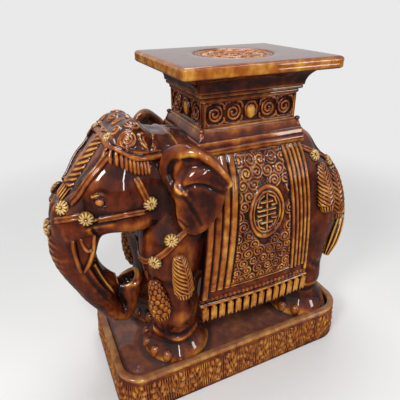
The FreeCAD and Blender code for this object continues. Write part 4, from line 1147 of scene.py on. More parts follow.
def roundelRelief(dx, dz):
    u, v = dx / roundel["halfWidth"], dz / roundel["halfHeight"]
    reach = np.hypot(u, v)
    scale = roundel["halfWidth"]
    height = np.maximum(ridge((reach - 1.0) * scale, 2.6 * mm), 0.85 * ridge((reach - 0.82) * scale, 1.5 * mm))
    flat = np.column_stack((dx.ravel(), dz.ravel(), np.zeros(dx.size)))
    near = np.flatnonzero(reach.ravel() < 0.8)
    bars = np.zeros(dx.size)
    for line in fretBars:
        places = [np.array((x * roundel["halfWidth"], z * roundel["halfHeight"], 0.0)) for x, z in line]
        bars[near] = np.maximum(bars[near], ridge(lineDistance(flat[near], places), roundel["bar"]))
    return np.where(reach < 1.12, np.maximum(height, 0.85 * bars.reshape(dx.shape)), 0.0), reach


def makeSaddleCloth():
    surface = frameSurface("saddle_cloth_left")
    rows, columns = clothLook["rows"], clothLook["columns"]
    z = np.linspace(clothLook["highest"], clothLook["lowest"], rows)[:, None]
    fall = (clothTop["z"] - z) / (clothTop["z"] - clothHem["z"])
    middle = clothTop["x"] + (clothHem["x"] - clothTop["x"]) * fall
    half = clothTop["half"] + (clothHem["half"] - clothTop["half"]) * fall
    share = np.linspace(-1.0, 1.0, columns)[None, :]
    x = middle + share * half * 0.998
    y = np.empty((rows, columns))
    for row in range(rows):
        for column in range(columns):
            start = Vector((x[row, column] * 0.996 + middle[row, 0] * 0.004, -0.5, z[row, 0]))
            spot = surface.ray_cast(start, Vector((0.0, 1.0, 0.0)))[0]
            y[row, column] = spot.y if spot else np.nan
    for row in range(rows):
        bad = np.isnan(y[row])
        if bad.all():
            y[row] = y[row - 1]
        elif bad.any():
            y[row, bad] = np.interp(x[row, bad], x[row, ~bad], y[row, ~bad])
    y = softened(y, 6)
    z = np.broadcast_to(z, x.shape)
    fromFront = x - (middle - half)
    fromRear = (middle + half) - x
    fromHem = z - clothHem["z"]
    frontBorder = clothLook["frontRibs"] * clothLook["frontPitch"]
    rearBorder = clothLook["rearRibs"] * clothLook["rearPitch"]
    frontRib = ridge((fromFront % clothLook["frontPitch"]) / clothLook["frontPitch"] - 0.5,
                     0.47) * (fromFront < frontBorder)
    rearRib = ridge((fromRear % clothLook["rearPitch"]) / clothLook["rearPitch"] - 0.5, 0.47) * (fromRear < rearBorder)
    fromField = fromHem - clothLook["fieldLow"]
    inner = np.minimum(np.minimum(fromFront - frontBorder, fromRear - rearBorder), fromField)
    between = (fromFront > frontBorder) & (fromRear > rearBorder)
    lines = np.maximum(ridge(fromField, 1.3 * mm), ridge(fromField + 3.6 * mm, 1.3 * mm))
    outermost = (fromFront < clothLook["frontPitch"]) | (fromRear < clothLook["rearPitch"])
    runs = (fromHem > clothLook["fieldLow"] - 4.0 * mm) | (outermost & (fromHem > clothLook["hemBand"]))
    rib = np.maximum(np.maximum(frontRib, rearRib) * runs, 0.6 * lines * between)
    hemRoll = ridge(fromHem - 2.2 * mm, 2.2 * mm)
    buds = scrollRelief(x, z, [(bud * 6.2 * mm - 60.0 * mm, clothHem["z"] + 8.6 * mm, 1, 0.3, 0.40)
                               for bud in range(28)],
                        clothLook["scroll"], clothLook["coilPitch"] * 0.7)
    buds = np.where(fromHem < clothLook["hemBand"], buds * 0.5, 0.0)
    field = scrollRelief(x, z, clothScrolls(), clothLook["scroll"], clothLook["coilPitch"])
    disc, reach = roundelRelief(x - roundel["x"], z - roundel["z"])
    field = np.where(reach < 1.12, disc, field) * np.clip((inner - 1.0 * mm) / (1.5 * mm), 0.0, 1.0)
    height = softened(np.maximum(np.maximum(rib, field), np.maximum(hemRoll, buds)), 1)
    slopeX = np.gradient(y, axis=1) / np.gradient(x, axis=1)
    slopeZ = np.gradient(y, axis=0) / np.gradient(z, axis=0)
    normal = unit(np.stack((slopeX, -np.ones_like(y), slopeZ), axis=-1))
    front = np.stack((x, y, z), axis=-1) + normal * (height * clothLook["relief"] - clothLook["sink"])[..., None]
    crest = np.clip((height - softened(height, 14)) * 1.9 + 0.22 * (height - 0.3), -0.9, 1.0)
    left = closedSheet("saddleCloth", front, -normal * clothLook["thickness"], crest)
    right = mirrorOf(left, "saddleClothRight")
    left.name = left.data.name = "saddleClothLeft"
    dress(left, "clothGlaze", "saddle_cloth_left", "cloth_border_left", "cloth_medallion_left")
    dress(right, "clothGlaze", "saddle_cloth_right", "cloth_border_right", "cloth_medallion_right")
    return front[-1]


fringeLook = {"strands": 14, "thickness": (3.2, 4.4, 5.0, 5.2, 5.3, 5.3, 5.1, 4.2, 2.0), "grooveAside": 2.6 * mm,
              "grooveShare": 0.42, "seed": 3}


def makeClothFringe(hem):
    # fat strands under the hem, each a little apart from the next
    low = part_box("cloth_fringe_left")[0]
    dice = random.Random(fringeLook["seed"])
    facing = np.array((0.0, -1.0, 0.15))
    thickness = np.array(fringeLook["thickness"]) * mm
    lines = []
    for index in range(fringeLook["strands"]):
        share = (index + 0.5) / fringeLook["strands"]
        top = pointOn(hem, share)
        length = (top[2] - low.z) * dice.uniform(0.94, 0.99)
        lean = dice.uniform(-0.5, 0.5) * mm
        points = np.array([top + np.array((lean * step, (1.2 + 2.2 * step - 1.5 * step * step) * mm,
                                           2.0 * mm - length * step)) for step in np.linspace(0, 1, len(thickness))])
        lines.append((points, thickness, facing))
        for aside in (-fringeLook["grooveAside"], fringeLook["grooveAside"]):
            groove = points + np.array((aside, -fringeLook["grooveAside"], 0.0))
            lines.append((groove[1:], thickness[1:] * fringeLook["grooveShare"], facing))
    pair(coils("clothFringe", lines, "ornamentGlaze", 10), "ornamentGlaze", "cloth_fringe")


makeClothFringe(makeSaddleCloth())
print("saddle cloth laid")


# Pedestal: foot, waist with its panels of scrolls, cove and top plate
pedestal = {"centre": 16.0 * mm, "halfLength": 60.5 * mm, "halfWidth": 46.0 * mm, "corner": 2.2 * mm, "wall": 8.0 * mm,
            "foot": 325.0 * mm, "waist": 350.0 * mm, "cove": 379.0 * mm, "plate": 407.0 * mm, "top": 420.0 * mm}
footProfile = ((10.0, -4.0), (10.6, 0.3), (10.7, 1.2), (10.4, 3.6), (9.9, 4.2), (8.9, 4.5), (8.8, 5.2), (9.4, 5.6),
               (9.3, 6.2), (8.8, 11.6),
               (8.3, 12.5), (7.1, 12.8), (6.9, 13.5), (7.2, 14.0), (6.9, 14.6), (3.9, 22.0), (3.4, 22.8), (2.5, 23.1),
               (2.4, 24.2),
               (1.4, 25.0))
coveProfile = ((0.2, 0.0), (1.3, 0.3), (1.7, 1.4), (1.7, 3.0), (1.2, 4.2), (2.6, 4.6), (4.4, 5.0), (4.9, 6.2),
               (4.8, 7.6), (4.1, 8.6),
               (5.6, 9.0), (6.1, 9.4), (6.3, 11.5), (6.9, 14.5), (8.3, 18.0), (10.6, 21.4), (13.6, 24.4), (16.6, 26.6),
               (18.4, 27.6),
               (18.5, 28.0))
sideSteps, cornerSteps = (92, 120), 6


def pedestalRings(profile):
    # level rings, one for each (outward, height) of a profile
    rings = []
    for grow, z in profile:
        corner = max(pedestal["corner"] + min(grow, 0.0), 0.4 * mm)
        flat = roundedRing(pedestal["halfLength"] + grow, pedestal["halfWidth"] + grow, corner, sideSteps, cornerSteps)
        rings.append(levelRing(flat, z, pedestal["centre"]))
    return np.array(rings)


def bandPiece(name, profile, base, node):
    outer = [(grow * mm, base + z * mm) for grow, z in profile]
    inner = [(-pedestal["wall"], outer[-1][1]), (-pedestal["wall"], outer[0][1])]
    piece = ringPiece(name, pedestalRings(outer + inner), None, True)
    markCrests(piece, 2, 0.5 * mm, 0.02)
    dress(piece, "standGlaze", node)


def makeWaist():
    # rows of rings, pressed in where the panels are sunk between corner beads
    height = pedestal["cove"] - pedestal["waist"]
    rows = np.linspace(0.0, 1.0, 44)
    ring = roundedRing(pedestal["halfLength"], pedestal["halfWidth"], pedestal["corner"], sideSteps, cornerSteps)
    onEnd = np.abs(ring[:, 0]) > pedestal["halfLength"] - 0.01 * mm
    span = np.where(onEnd, pedestal["halfWidth"] - np.abs(ring[:, 1]), pedestal["halfLength"] - np.abs(ring[:, 0]))
    outward = np.where(onEnd[:, None], np.sign(ring) * (1.0, 0.0), np.sign(ring) * (0.0, 1.0))
    rise = np.minimum(rows, 1.0 - rows) * height
    depth = np.clip((np.minimum(span[None, :], rise[:, None] + 1.2 * mm) - 3.6 * mm) / (0.9 * mm), 0.0, 1.0)
    bead = 0.9 * ridge(span - 2.0 * mm, 1.8 * mm)[None, :]
    shift = (bead - 2.2 * depth) * mm
    points = np.empty((len(rows), len(ring), 3))
    for index, share in enumerate(rows):
        flat = ring + outward * shift[index][:, None]
        points[index] = levelRing(flat, pedestal["waist"] + share * height, pedestal["centre"])
    inner = pedestalRings([(-pedestal["wall"], pedestal["cove"]), (-pedestal["wall"], pedestal["waist"])])
    piece = ringPiece("pedestalWaist", np.concatenate((points, inner)), None, True)
    markCrests(piece, 3, 0.4 * mm, -0.1)
    dress(piece, "standGlaze", "pedestal_waist")


def spiralLine(turns, radius, hand, start=0.0, tail=()):
    # a flat scroll that winds out from its eye, then runs on through the tail's places
    turn = np.linspace(0.0, turns * 2.0 * np.pi, int(turns * 16) + 1)
    reach = radius * (0.16 + 0.84 * turn / turn[-1])
    spiral = np.column_stack((reach * np.cos(start + hand * turn), reach * np.sin(start + hand * turn)))
    return np.concatenate((spiral, np.asarray(tail, float).reshape(-1, 2)))


def makeWaistScrolls():
    middle = (pedestal["waist"] + pedestal["cove"]) / 2.0
    lines = []
    for side in (-1.0, 1.0):
        sides = ((5, pedestal["halfLength"], np.array((0.0, side, 0.0)), np.array((1.0, 0.0, 0.0)),
                  pedestal["halfWidth"]),
                 (3, pedestal["halfWidth"], np.array((side, 0.0, 0.0)), np.array((0.0, 1.0, 0.0)),
                  pedestal["halfLength"]))
        for count, half, outward, across, reach in sides:
            pitch = 2.0 * (half - 4.0 * mm) / count
            panel = np.array((pedestal["centre"], 0.0, middle)) + outward * (reach - 1.9 * mm)
            for index in range(count):
                place = panel + across * ((index - (count - 1) / 2.0) * pitch)
                hand = 1.0 if index < count / 2.0 else -1.0
                if index * 2 + 1 == count:
                    shield = [(0.0, -10.5), (-6.5, -4.0), (-7.5, 4.0), (-3.5, 9.5), (3.5, 9.5), (7.5, 4.0), (6.5, -4.0),
                              (0.0, -10.5)]
                    flats = [np.array(shield) * mm, spiralLine(1.1, 4.2 * mm, 1.0), spiralLine(0.6, 2.0 * mm, -1.0)]
                else:
                    flats = [spiralLine(2.0, 9.3 * mm, hand, math.pi / 2.0)]
                    for sx, sz in ((-1, 1), (1, 1), (-1, -1), (1, -1)):
                        leaf = np.array([(11.4, 3.5, 0), (10.8, 8.2, 0), (8.0, 11.0, 0), (3.6, 11.4, 0)]) * (sx, sz, 0)
                        flats.append(curveThrough(leaf * mm, 5)[:, :2])
                for flat in flats:
                    points = place + flat[:, :1] * across + flat[:, 1:] * up
                    lines.append((points, roundEnds(len(points), 1.85 * mm, 0.12), outward * 0.64))
    scrolls = coils("waistScrolls", lines, "ornamentGlaze", 8)
    buds = []
    for side in (-1.0, 1.0):
        for place, facing in (((0.0, side * (pedestal["halfWidth"] - 2.2 * mm)), (0.0, side, 0.0)),
                              ((side * (pedestal["halfLength"] - 2.2 * mm), 0.0), (side, 0.0, 0.0))):
            buds.append((np.array((pedestal["centre"] + place[0], place[1], middle - 1.0 * mm)), facing, up,
                         at(6.5, 9.0, 3.4)))
    dress(joined("waistScrolls", [scrolls, sprigs("shieldBosses", ball, buds, "ornamentGlaze")]), "ornamentGlaze",
          "waist_scrolls")


def makeKnobs():
    places = []
    for sx in (-1, 1):
        for sy in (-1, 1):
            corner = np.array((pedestal["centre"] + sx * (pedestal["halfLength"] + 2.2 * mm),
                               sy * (pedestal["halfWidth"] + 2.2 * mm),
                               pedestal["waist"] - 4.5 * mm))
            facing = np.array((sx, sy, 0.2))
            places.append((corner - up * 5.5 * mm, facing, up, at(4.2, 9.5, 4.2)))
            places.append((corner + up * 3.6 * mm, facing, up, at(3.4, 2.6, 3.4)))
    dress(dulled(sprigs("pedestalKnobs", ball, places, "standGlaze"), 0.4), "standGlaze", "pedestal_knobs")


plateLook = {"half": (94.5, 78.5), "recess": 47.0 * mm, "corner": 2.8 * mm}


def makePlate():
    # rings from the middle of the recess out over the top, round the edge and in again below
    half = np.array(plateLook["half"]) * mm
    recess = plateLook["recess"]
    rings = []

    def rectangle(inset, z):
        corner = max(plateLook["corner"] - inset * 0.3, 1.2 * mm)
        flat = roundedRing(half[0] - inset, half[1] - inset, corner, sideSteps, cornerSteps)
        rings.append(levelRing(flat, z, pedestal["centre"]))

    spoke = unit(roundedRing(half[0], half[1], plateLook["corner"], sideSteps, cornerSteps))
    top, low = pedestal["top"], pedestal["plate"]
    for radius, drop in ((1.0 * mm, 3.0), (recess - 4 * mm, 3.0), (recess - 1.2 * mm, 2.8), (recess - 0.2 * mm, 1.4),
                         (recess + 0.6 * mm, 0.2), (recess + 1.6 * mm, 0.0)):
        rings.append(levelRing(spoke * radius, top - drop * mm, pedestal["centre"]))
    rimRing = rings[-1].copy()
    rectangle(5.0 * mm, top)
    outerRing = rings.pop()
    for share in (0.2, 0.4, 0.6, 0.8, 1.0):
        rings.append(rimRing * (1.0 - share) + outerRing * share)
    for turn in np.radians((12, 30, 48, 66, 84)):
        rectangle(4.0 * mm * (1.0 - math.sin(turn)), top - 4.0 * mm * (1.0 - math.cos(turn)))
    for share in (0.25, 0.5, 0.75):
        rectangle(0.35 * mm * math.sin(math.pi * share), top - 4.0 * mm - share * 5.4 * mm)
    for turn in np.radians((8, 30, 60, 85)):
        rectangle(3.4 * mm * (1.0 - math.cos(turn)), low + 3.4 * mm * (1.0 - math.sin(turn)))
    for inset in (8.0, 20.0, 50.0, 76.0):
        rectangle(inset * mm, low)
    piece = ringPiece("topPlate", np.array(rings), None, False)
    points = meshPoints(piece)
    edge = np.maximum(np.abs(points[:, 0] - pedestal["centre"]) - half[0], np.abs(points[:, 1]) - half[1])
    crest = np.clip(1.0 + edge / (6.0 * mm), 0.0, 1.0) * 0.75 - 0.05
    rimEdge = np.exp(-((np.hypot(points[:, 0] - pedestal["centre"], points[:, 1]) - recess) / (1.6 * mm)) ** 2)
    storeValue(piece, "crest", np.where(points[:, 2] > low + 1.0 * mm, crest + 0.4 * rimEdge, -0.3))
    dress(piece, "standGlaze", "top_plate")


medallion = {"radius": 44.5 * mm, "floor": 417.0 * mm, "relief": 1.9 * mm, "rings": 96, "spokes": 360,
             "rolls": (0.975, 0.90, 0.60, 0.54, 0.22), "scrollRings": ((0.75, 16), (0.38, 8))}


def makeMedallion():
    # a disc of rings, scrolls and a lobed bud in the middle, its crest a hair under the plate's face
    reach = np.linspace(0.02, 1.0, medallion["rings"])[:, None]
    turn = (2.0 * np.pi * np.arange(medallion["spokes"]) / medallion["spokes"])[None, :]
    radius = reach * medallion["radius"]
    x, y = radius * np.cos(turn), radius * np.sin(turn)
    rolls = sum(ridge(radius - share * medallion["radius"], 1.2 * mm) for share in medallion["rolls"])
    places = []
    for share, count in medallion["scrollRings"]:
        for index in range(count):
            angle = 2.0 * math.pi * index / count
            places.append((share * medallion["radius"] * math.cos(angle), share * medallion["radius"] * math.sin(angle),
                           1 if index % 2 else -1, 0.2, 0.62))
    scrolls = scrollRelief(x, y, places, 9.0 * mm, 2.5 * mm)
    bud = ridge(radius, 0.16 * medallion["radius"]) * (0.7 + 0.3 * np.cos(8.0 * turn))
    height = softened(np.maximum(np.maximum(np.clip(rolls, 0, 1), scrolls), bud), 1)
    z = medallion["floor"] + 0.6 * mm + height * medallion["relief"]
    z[-1] = medallion["floor"] + 0.3 * mm
    top = np.stack((x + pedestal["centre"], y, z), axis=-1)
    under = top[-1:].copy()
    under[..., 2] = medallion["floor"] - 0.5 * mm
    crest = np.clip(height - softened(height, 8) + 0.42, -0.6, 0.9)
    piece = ringPiece("topMedallion", np.concatenate((top, under)), np.concatenate((crest, crest[-1:])), False)
    dress(piece, "ornamentGlaze", "top_medallion")


bandPiece("pedestalFoot", footProfile, pedestal["foot"], "pedestal_foot")
makeWaist()
makeWaistScrolls()
makeKnobs()
bandPiece("pedestalCove", coveProfile, pedestal["cove"], "pedestal_cove")
makePlate()
makeMedallion()
print("pedestal built")


# Plinth: fluted wall with leaf motifs, rolled rim and the glossy deck
plinth = {"halfLength": 176.9 * mm, "halfWidth": 94.9 * mm, "corner": 38.0 * mm, "taper": 4.0 * mm, "wall": 8.0 * mm,
          "top": 51.0 * mm, "reedPitch": 3.3 * mm, "reedRise": 1.1 * mm,
          "motifs": 38, "motifHeight": 41.0 * mm, "motifWidth": 25.0 * mm, "motifRelief": 3.2 * mm}
plinthSteps, plinthCorner = (150, 64), 22
feet = ((-83, -38), (-83, 38), (120, -40), (120, 40))
deckLook = {"half": (163.9, 81.9), "corner": 29.0 * mm, "skirt": 41.2, "rings": 72, "poolAndShadeReach": 47.0 * mm}


def makePlinthWall():
    # rings of the tapered wall; upright reeds all round, with a smooth band at the foot and head
    heights = (0.0, 0.8, 2.0, 4.2, 5.0, 6.0, 7.0, 16.0, 26.0, 36.0, 44.0, 45.0, 46.0, 47.0, 49.0, 51.0)
    swell = (-1.0, -0.25, 0.0, 0.0, -0.35, -1.0, -1.0, -1.0, -1.0, -1.0, -1.0, -0.9, -0.3, 0.0, 0.0, 0.0)
    rings = []
    steps = [2 * count for count in plinthSteps]
    base = roundedRing(plinth["halfLength"], plinth["halfWidth"], plinth["corner"], steps, 2 * plinthCorner)
    lengths = lengthsAlong(np.vstack((base, base[:1])))
    count = round(lengths[-1] / plinth["reedPitch"])
    reed = np.abs(np.cos(np.pi * lengths[:-1] / lengths[-1] * count))
    outward = ringOutward(base)
    for z, out in zip(heights, swell):
        taper = plinth["taper"] * z / 51.0
        shift = out * 0.9 * mm + (plinth["reedRise"] * (reed - 0.3) if 5.5 < z < 44.5 else np.zeros(len(base)))
        flat = base - outward * (taper - shift - 0.25 * mm)[:, None]
        rings.append(levelRing(flat, z * mm))
    for z in (51.0, 0.0):
        flat = base - outward * (plinth["taper"] * z / 51.0 + plinth["wall"])
        rings.append(levelRing(flat, z * mm))
    piece = ringPiece("plinthWall", np.array(rings), None, True)
    points = meshPoints(piece)
    crest = np.tile((reed - 0.45) * 1.5, len(rings))
    inBand = (points[:, 2] > 5.5 * mm) & (points[:, 2] < 44.5 * mm)
    storeValue(piece, "crest", np.where(inBand, crest, 0.25))
    dress(piece, "standGlaze", "plinth_wall")


def ringOutward(ring):
    # unit vectors pointing out of a flat ring
    along = np.roll(ring, -1, axis=0) - np.roll(ring, 1, axis=0)
    outward = unit(np.column_stack((along[:, 1], -along[:, 0])))
    return outward if (outward * ring).sum() > 0 else -outward


def makePlinthRim():
    profile = ((-8.6, 41.5), (-8.6, 55.0), (-8.0, 56.4), (-6.6, 57.0), (-4.0, 57.0), (-1.4, 56.9), (0.3, 56.2),
               (1.1, 55.0), (1.25, 53.6),
               (0.9, 52.2), (0.2, 51.2), (-1.0, 51.0), (-6.0, 51.0), (-7.9, 50.6), (-8.0, 41.5))
    inset = plinth["taper"]
    rings = []
    for grow, z in profile:
        flat = roundedRing(plinth["halfLength"] - inset + grow * mm, plinth["halfWidth"] - inset + grow * mm,
                           plinth["corner"] - inset + grow * mm, plinthSteps, plinthCorner)
        rings.append(levelRing(flat, z * mm))
    piece = ringPiece("plinthRim", np.array(rings), 0.72, True)
    dress(piece, "standGlaze", "plinth_rim")


def makePlinthDeck():
    # a gently uneven glazed floor with a skirt down to the CAD deck's underside
    half = np.array(deckLook["half"]) * mm
    ring = roundedRing(half[0], half[1], deckLook["corner"], (110, 56), 18)
    rings = []
    for share in np.linspace(0.02, 1.0, deckLook["rings"]):
        flat = ring * share
        sway = np.sin(flat[:, 0] * 61.0) * np.cos(flat[:, 1] * 83.0 + 1.0) + np.sin(flat[:, 0] * 23.0
                                                                                    + flat[:, 1] * 37.0)
        edge = (share - 0.93) / 0.07
        rings.append(levelRing(flat, 49.75 * mm + sway * 0.12 * mm - (max(edge, 0.0) ** 2) * 0.5 * mm))
    for share in (1.0, 0.02):
        rings.append(levelRing(ring * share, deckLook["skirt"] * mm))
    rings = np.array(rings)
    # a darker ring round each foot, partly glaze pooled at the feet and partly painted shade where the legs meet the
    # deck
    pooledAndShaded = np.zeros(rings.shape[:2])
    for x, y in feet:
        reach = np.hypot(rings[..., 0] - x * mm, rings[..., 1] - y * mm)
        pooledAndShaded = np.maximum(pooledAndShaded, np.clip(1.0 - (reach - deckLook["poolAndShadeReach"]) / (7.0 * mm), 0.0, 1.0))
    piece = ringPiece("plinthDeck", rings, 0.24 - 1.1 * pooledAndShaded, False)
    dress(piece, "standGlaze", "plinth_deck")


def motifRelief(u, v, hand):
    # u and v run from -1 to 1 over a motif: a leaning spray of fat lobes on a stem, with a bud at its foot
    lean = hand * u * 0.90 + v * 0.42
    rise = v * 0.90 - hand * u * 0.42
    height = 0.8 * ridge(lean, 0.12) * (np.abs(rise) < 0.85)
    for place, size, row in ((-0.66, 0.95, 2), (-0.14, 1.2, 2), (0.40, 1.05, 1)):
        for side in (-1.0, 1.0):
            for reach, turn in ((0.40, 0.62), (0.86, 0.30))[:row]:
                across, along = side * lean - reach * size, rise - place - 0.30 * (1.0 - reach)
                wide = across * math.cos(turn) + along * math.sin(turn)
                tall = along * math.cos(turn) - across * math.sin(turn)
                lobe = ridge(np.hypot(wide / (0.36 * size), tall / (0.215 * size)), 1.0)
                height = np.maximum(height, lobe * (1.0 if reach < 0.5 else 0.85))
    bud = ridge(np.hypot(lean / 0.30, (rise - 0.90) / 0.22), 1.0)
    return np.maximum(height, bud)


def makeFrieze():
    # relief patches laid on the wall, each closed behind
    inset = plinth["taper"] * 0.5
    path = roundedRing(plinth["halfLength"] - inset, plinth["halfWidth"] - inset, plinth["corner"] - inset, (400, 200),
                       120)
    loop = np.vstack((path, path[:1]))
    lengths = lengthsAlong(loop)
    outward = ringOutward(path)
    outward = np.vstack((outward, outward[:1]))
    total = lengths[-1]
    rows, columns = 56, 38
    pieces = []
    for index in range(plinth["motifs"]):
        centre = (index + 0.5) * total / plinth["motifs"]
        u = np.linspace(-1.0, 1.0, columns)[None, :]
        v = np.linspace(1.0, -1.0, rows)[:, None]
        along = (centre + u[0] * plinth["motifWidth"] / 2.0) % total
        flat = np.column_stack([np.interp(along, lengths, loop[:, axis]) for axis in (0, 1)])
        out = unit(np.column_stack([np.interp(along, lengths, outward[:, axis]) for axis in (0, 1)]))
        height = softened(motifRelief(u, v, 1.0 if index % 2 else -1.0), 1)
        z = 25.5 * mm + v * plinth["motifHeight"] / 2.0
        taper = plinth["taper"] * (z / plinth["top"] - 0.5)
        rise = height * plinth["motifRelief"] - 1.5 * mm - taper
        front = np.empty((rows, columns, 3))
        front[..., :2] = flat + out * rise[..., None]
        front[..., 2] = z
        inward = np.zeros(front.shape)
        inward[..., :2] = -out * 2.5 * mm
        crest = np.where(height > 0.25, np.clip(0.30 + 0.9 * (height - 0.5), -0.2, 0.8), -0.9)
        pieces.append(closedSheet("motif", front, inward, crest))
    dress(joined("plinthFrieze", pieces), "ornamentGlaze", "plinth_frieze")


def makeToenails():
    places = []
    for x, y in feet:
        for index in range(-2, 3):
            angle = math.radians(180.0 + 27.0 * index)
            facing = np.array((math.cos(angle), math.sin(angle), 0.25))
            spot = at(x + 40.5 * math.cos(angle), y + 40.5 * math.sin(angle), 59.0)
            places.append((spot, facing, up, at(7.4, 9.6, 7.0)))
    dress(dulled(sprigs("toenails", ball, places, "ornamentGlaze"), 0.45), "ornamentGlaze", "toenails")


makePlinthWall()
makePlinthRim()
makePlinthDeck()
makeFrieze()
makeToenails()
print("plinth built")


# Head cloth with scroll relief and a rolled hem, and its fringe
capLook = {"rows": 96, "columns": 150, "relief": 2.5 * mm, "thickness": 3.0 * mm, "scroll": 9.5 * mm,
           "coilPitch": 3.2 * mm, "start": -92.0 * mm, "end": -147.0 * mm, "swing": 58.0, "rounding": 0.36,
           # place aside and back, hand and size of each scroll on the left half
           "scrolls": ((48.0, 20.0, 1, 1.1), (48.0, 41.0, -1, 1.1), (29.0, 30.0, -1, 0.9), (28.0, 13.5, 1, 0.7),
                       (27.0, 47.0, 1, 0.8), (9.0, 21.0, -1, 0.75), (9.0, 39.0, 1, 0.75)),
           "strands": 11, "strand": (1.8, 2.2, 2.4, 2.5, 2.5, 2.2, 1.1)}


def makeHeadCloth():
    # laid over both domes of the head from ear to ear
    rows, columns = capLook["rows"], capLook["columns"]
    span = np.linspace(0.0, 1.0, rows)[:, None]
    swing = np.linspace(-1.0, 1.0, columns)[None, :]
    # the front corners rounded off
    angle = swing * math.radians(capLook["swing"]) * (1.03 - capLook["rounding"] * np.clip((span - 0.40) / 0.60, 0.0,
                                                                                           1.0) ** 2)
    x = capLook["start"] + (capLook["end"] - capLook["start"]) * span + 0.0 * swing
    hub = np.array((0.0, 296.0 * mm))
    points = np.empty((rows, columns, 3))
    normals = np.empty((rows, columns, 3))
    for row in range(rows):
        for column in range(columns):
            direction = Vector((0.0, math.sin(angle[row, column]), math.cos(angle[row, column])))
            start = Vector((x[row, 0], hub[0], hub[1])) + direction * 0.2
            spot, normal, _, _ = skin.ray_cast(start, -direction)
            points[row, column], normals[row, column] = spot, normal
    points[..., 1] = softened(points[..., 1], 2)
    points[..., 2] = softened(points[..., 2], 2)
    along, across = np.gradient(points, axis=0), np.gradient(points, axis=1)
    normals = unit(np.cross(across, along))
    normals *= np.sign((normals * (points - (0.0, 0.0, 0.29))).sum(axis=-1))[..., None]
    arc = np.zeros((rows, columns))
    arc[:, 1:] = np.cumsum(np.linalg.norm(np.diff(points, axis=1), axis=-1), axis=1)
    arc -= arc[:, columns // 2][:, None]
    depth = x - capLook["end"]
    half = arc[:, -1][:, None]
    fromEdge = np.minimum(depth * 1.08, (half - np.abs(arc)))
    roll = np.maximum(1.25 * ridge(fromEdge - 3.4 * mm, 3.5 * mm), 0.7 * ridge(fromEdge - 9.0 * mm, 1.7 * mm))
    places = []
    for side in (-1.0, 1.0):
        for place, back, hand, size in capLook["scrolls"]:
            places.append((side * place * mm, back * mm, side * hand, 0.25, size))
    scrolls = scrollRelief(arc, depth, places, capLook["scroll"], capLook["coilPitch"]) * (fromEdge > 10.0 * mm)
    height = softened(np.maximum(roll, scrolls), 1)
    front = points + normals * (0.7 * mm + height * capLook["relief"])[..., None]
    crest = np.clip((height - softened(height, 10)) * 2.0 + 0.25 * height - 0.1, -0.9, 1.0)
    crest = np.where(fromEdge < 10.5 * mm, np.minimum(crest, 0.45 * crest), crest)
    piece = closedSheet("headCloth", front, -normals * capLook["thickness"], crest)
    dress(piece, "clothGlaze", "head_cloth")
    return front[:, 0], front[:, -1]


def makeCapFringe(hems):
    # strands that hang down the temples from both side hems
    lines = []
    for hem in hems:
        for share in np.linspace(0.34, 0.98, capLook["strands"]):
            top = pointOn(hem, share)
            steps = np.linspace(0, 1, len(capLook["strand"]))
            reach = [top + np.array((0.0, 0.0, (1.5 - step * 15.0) * mm)) for step in steps]
            placed, facing = laidOn(skin, reach, 1.4 * mm)
            lines.append((placed, np.array(capLook["strand"]) * mm, facing * 0.72))
    dress(coils("capFringe", lines, "ornamentGlaze", 10), "ornamentGlaze", "head_cloth_fringe")


# Straps that follow the skin, rosettes at their crossings
def strapLines(surface, line, gap=3.4, thickness=1.7, lift=0.8):
    # a strap drawn as a pair of rolled ridges with a flat cord between
    line = curveThrough(line, 8)
    placed, facing = laidOn(surface, line, lift * mm)
    along = unit(np.gradient(placed, axis=0))
    aside = np.cross(along, facing)
    made = []
    for offset, size in ((-gap / 2.0, 1.0), (gap / 2.0, 1.0), (0.0, 0.55)):
        path, face = laidOn(surface, placed + aside * offset * mm, lift * mm)
        made.append((path, roundEnds(len(path), thickness * size * mm, 0.08), face * 0.66))
    return made


def makeStraps():
    def head(along, height, out=48.0):
        return at(-88 - 122 * along, -out, 222 + 143 * height)
    brow = strapLines(skin, [at(-147, -46, 341), at(-160, -44, 332), at(-173, -42, 316), at(-184, -38, 300),
                             at(-190, -32, 287)], 5.0, 2.2)
    pair(coils("browStrap", brow, "ornamentGlaze", 10), "ornamentGlaze", "brow_strap")
    cheek = (strapLines(skin, [head(0.30, 0.66, 62), head(0.26, 0.56, 62), head(0.21, 0.43, 60)], 4.0, 2.0)
             + strapLines(skin, [head(0.24, 0.36, 58), head(0.40, 0.375, 56), head(0.54, 0.355, 54),
                                 head(0.66, 0.33, 50)], 3.6, 1.8)
             + strapLines(skin, [head(0.76, 0.375, 40), head(0.86, 0.35, 36), head(0.97, 0.31, 24)], 3.8, 1.9))
    pair(coils("cheekStrap", cheek, "ornamentGlaze", 10), "ornamentGlaze", "cheek_strap")


def facingOf(forward, rise):
    # a unit vector turned forward from the left side, then up
    f, u = math.radians(forward), math.radians(rise)
    return np.array((-math.sin(f) * math.cos(u), -math.cos(f) * math.cos(u), math.sin(u)))


def onSkin(surface, places):
    # rosette places as (point, facing, radius), seated on the surface along their facing
    made = []
    for point, facing, radius in places:
        start = Vector(np.asarray(point) + facing * 30.0 * mm)
        spot, normal, _, _ = surface.ray_cast(start, -Vector(facing))
        spot = np.array(spot) if spot else np.asarray(point)
        normal = np.array(normal) if normal else facing
        face = facing * 0.5 + normal * 0.5
        made.append((spot + face * 0.4 * mm, face / np.linalg.norm(face), radius))
    return made


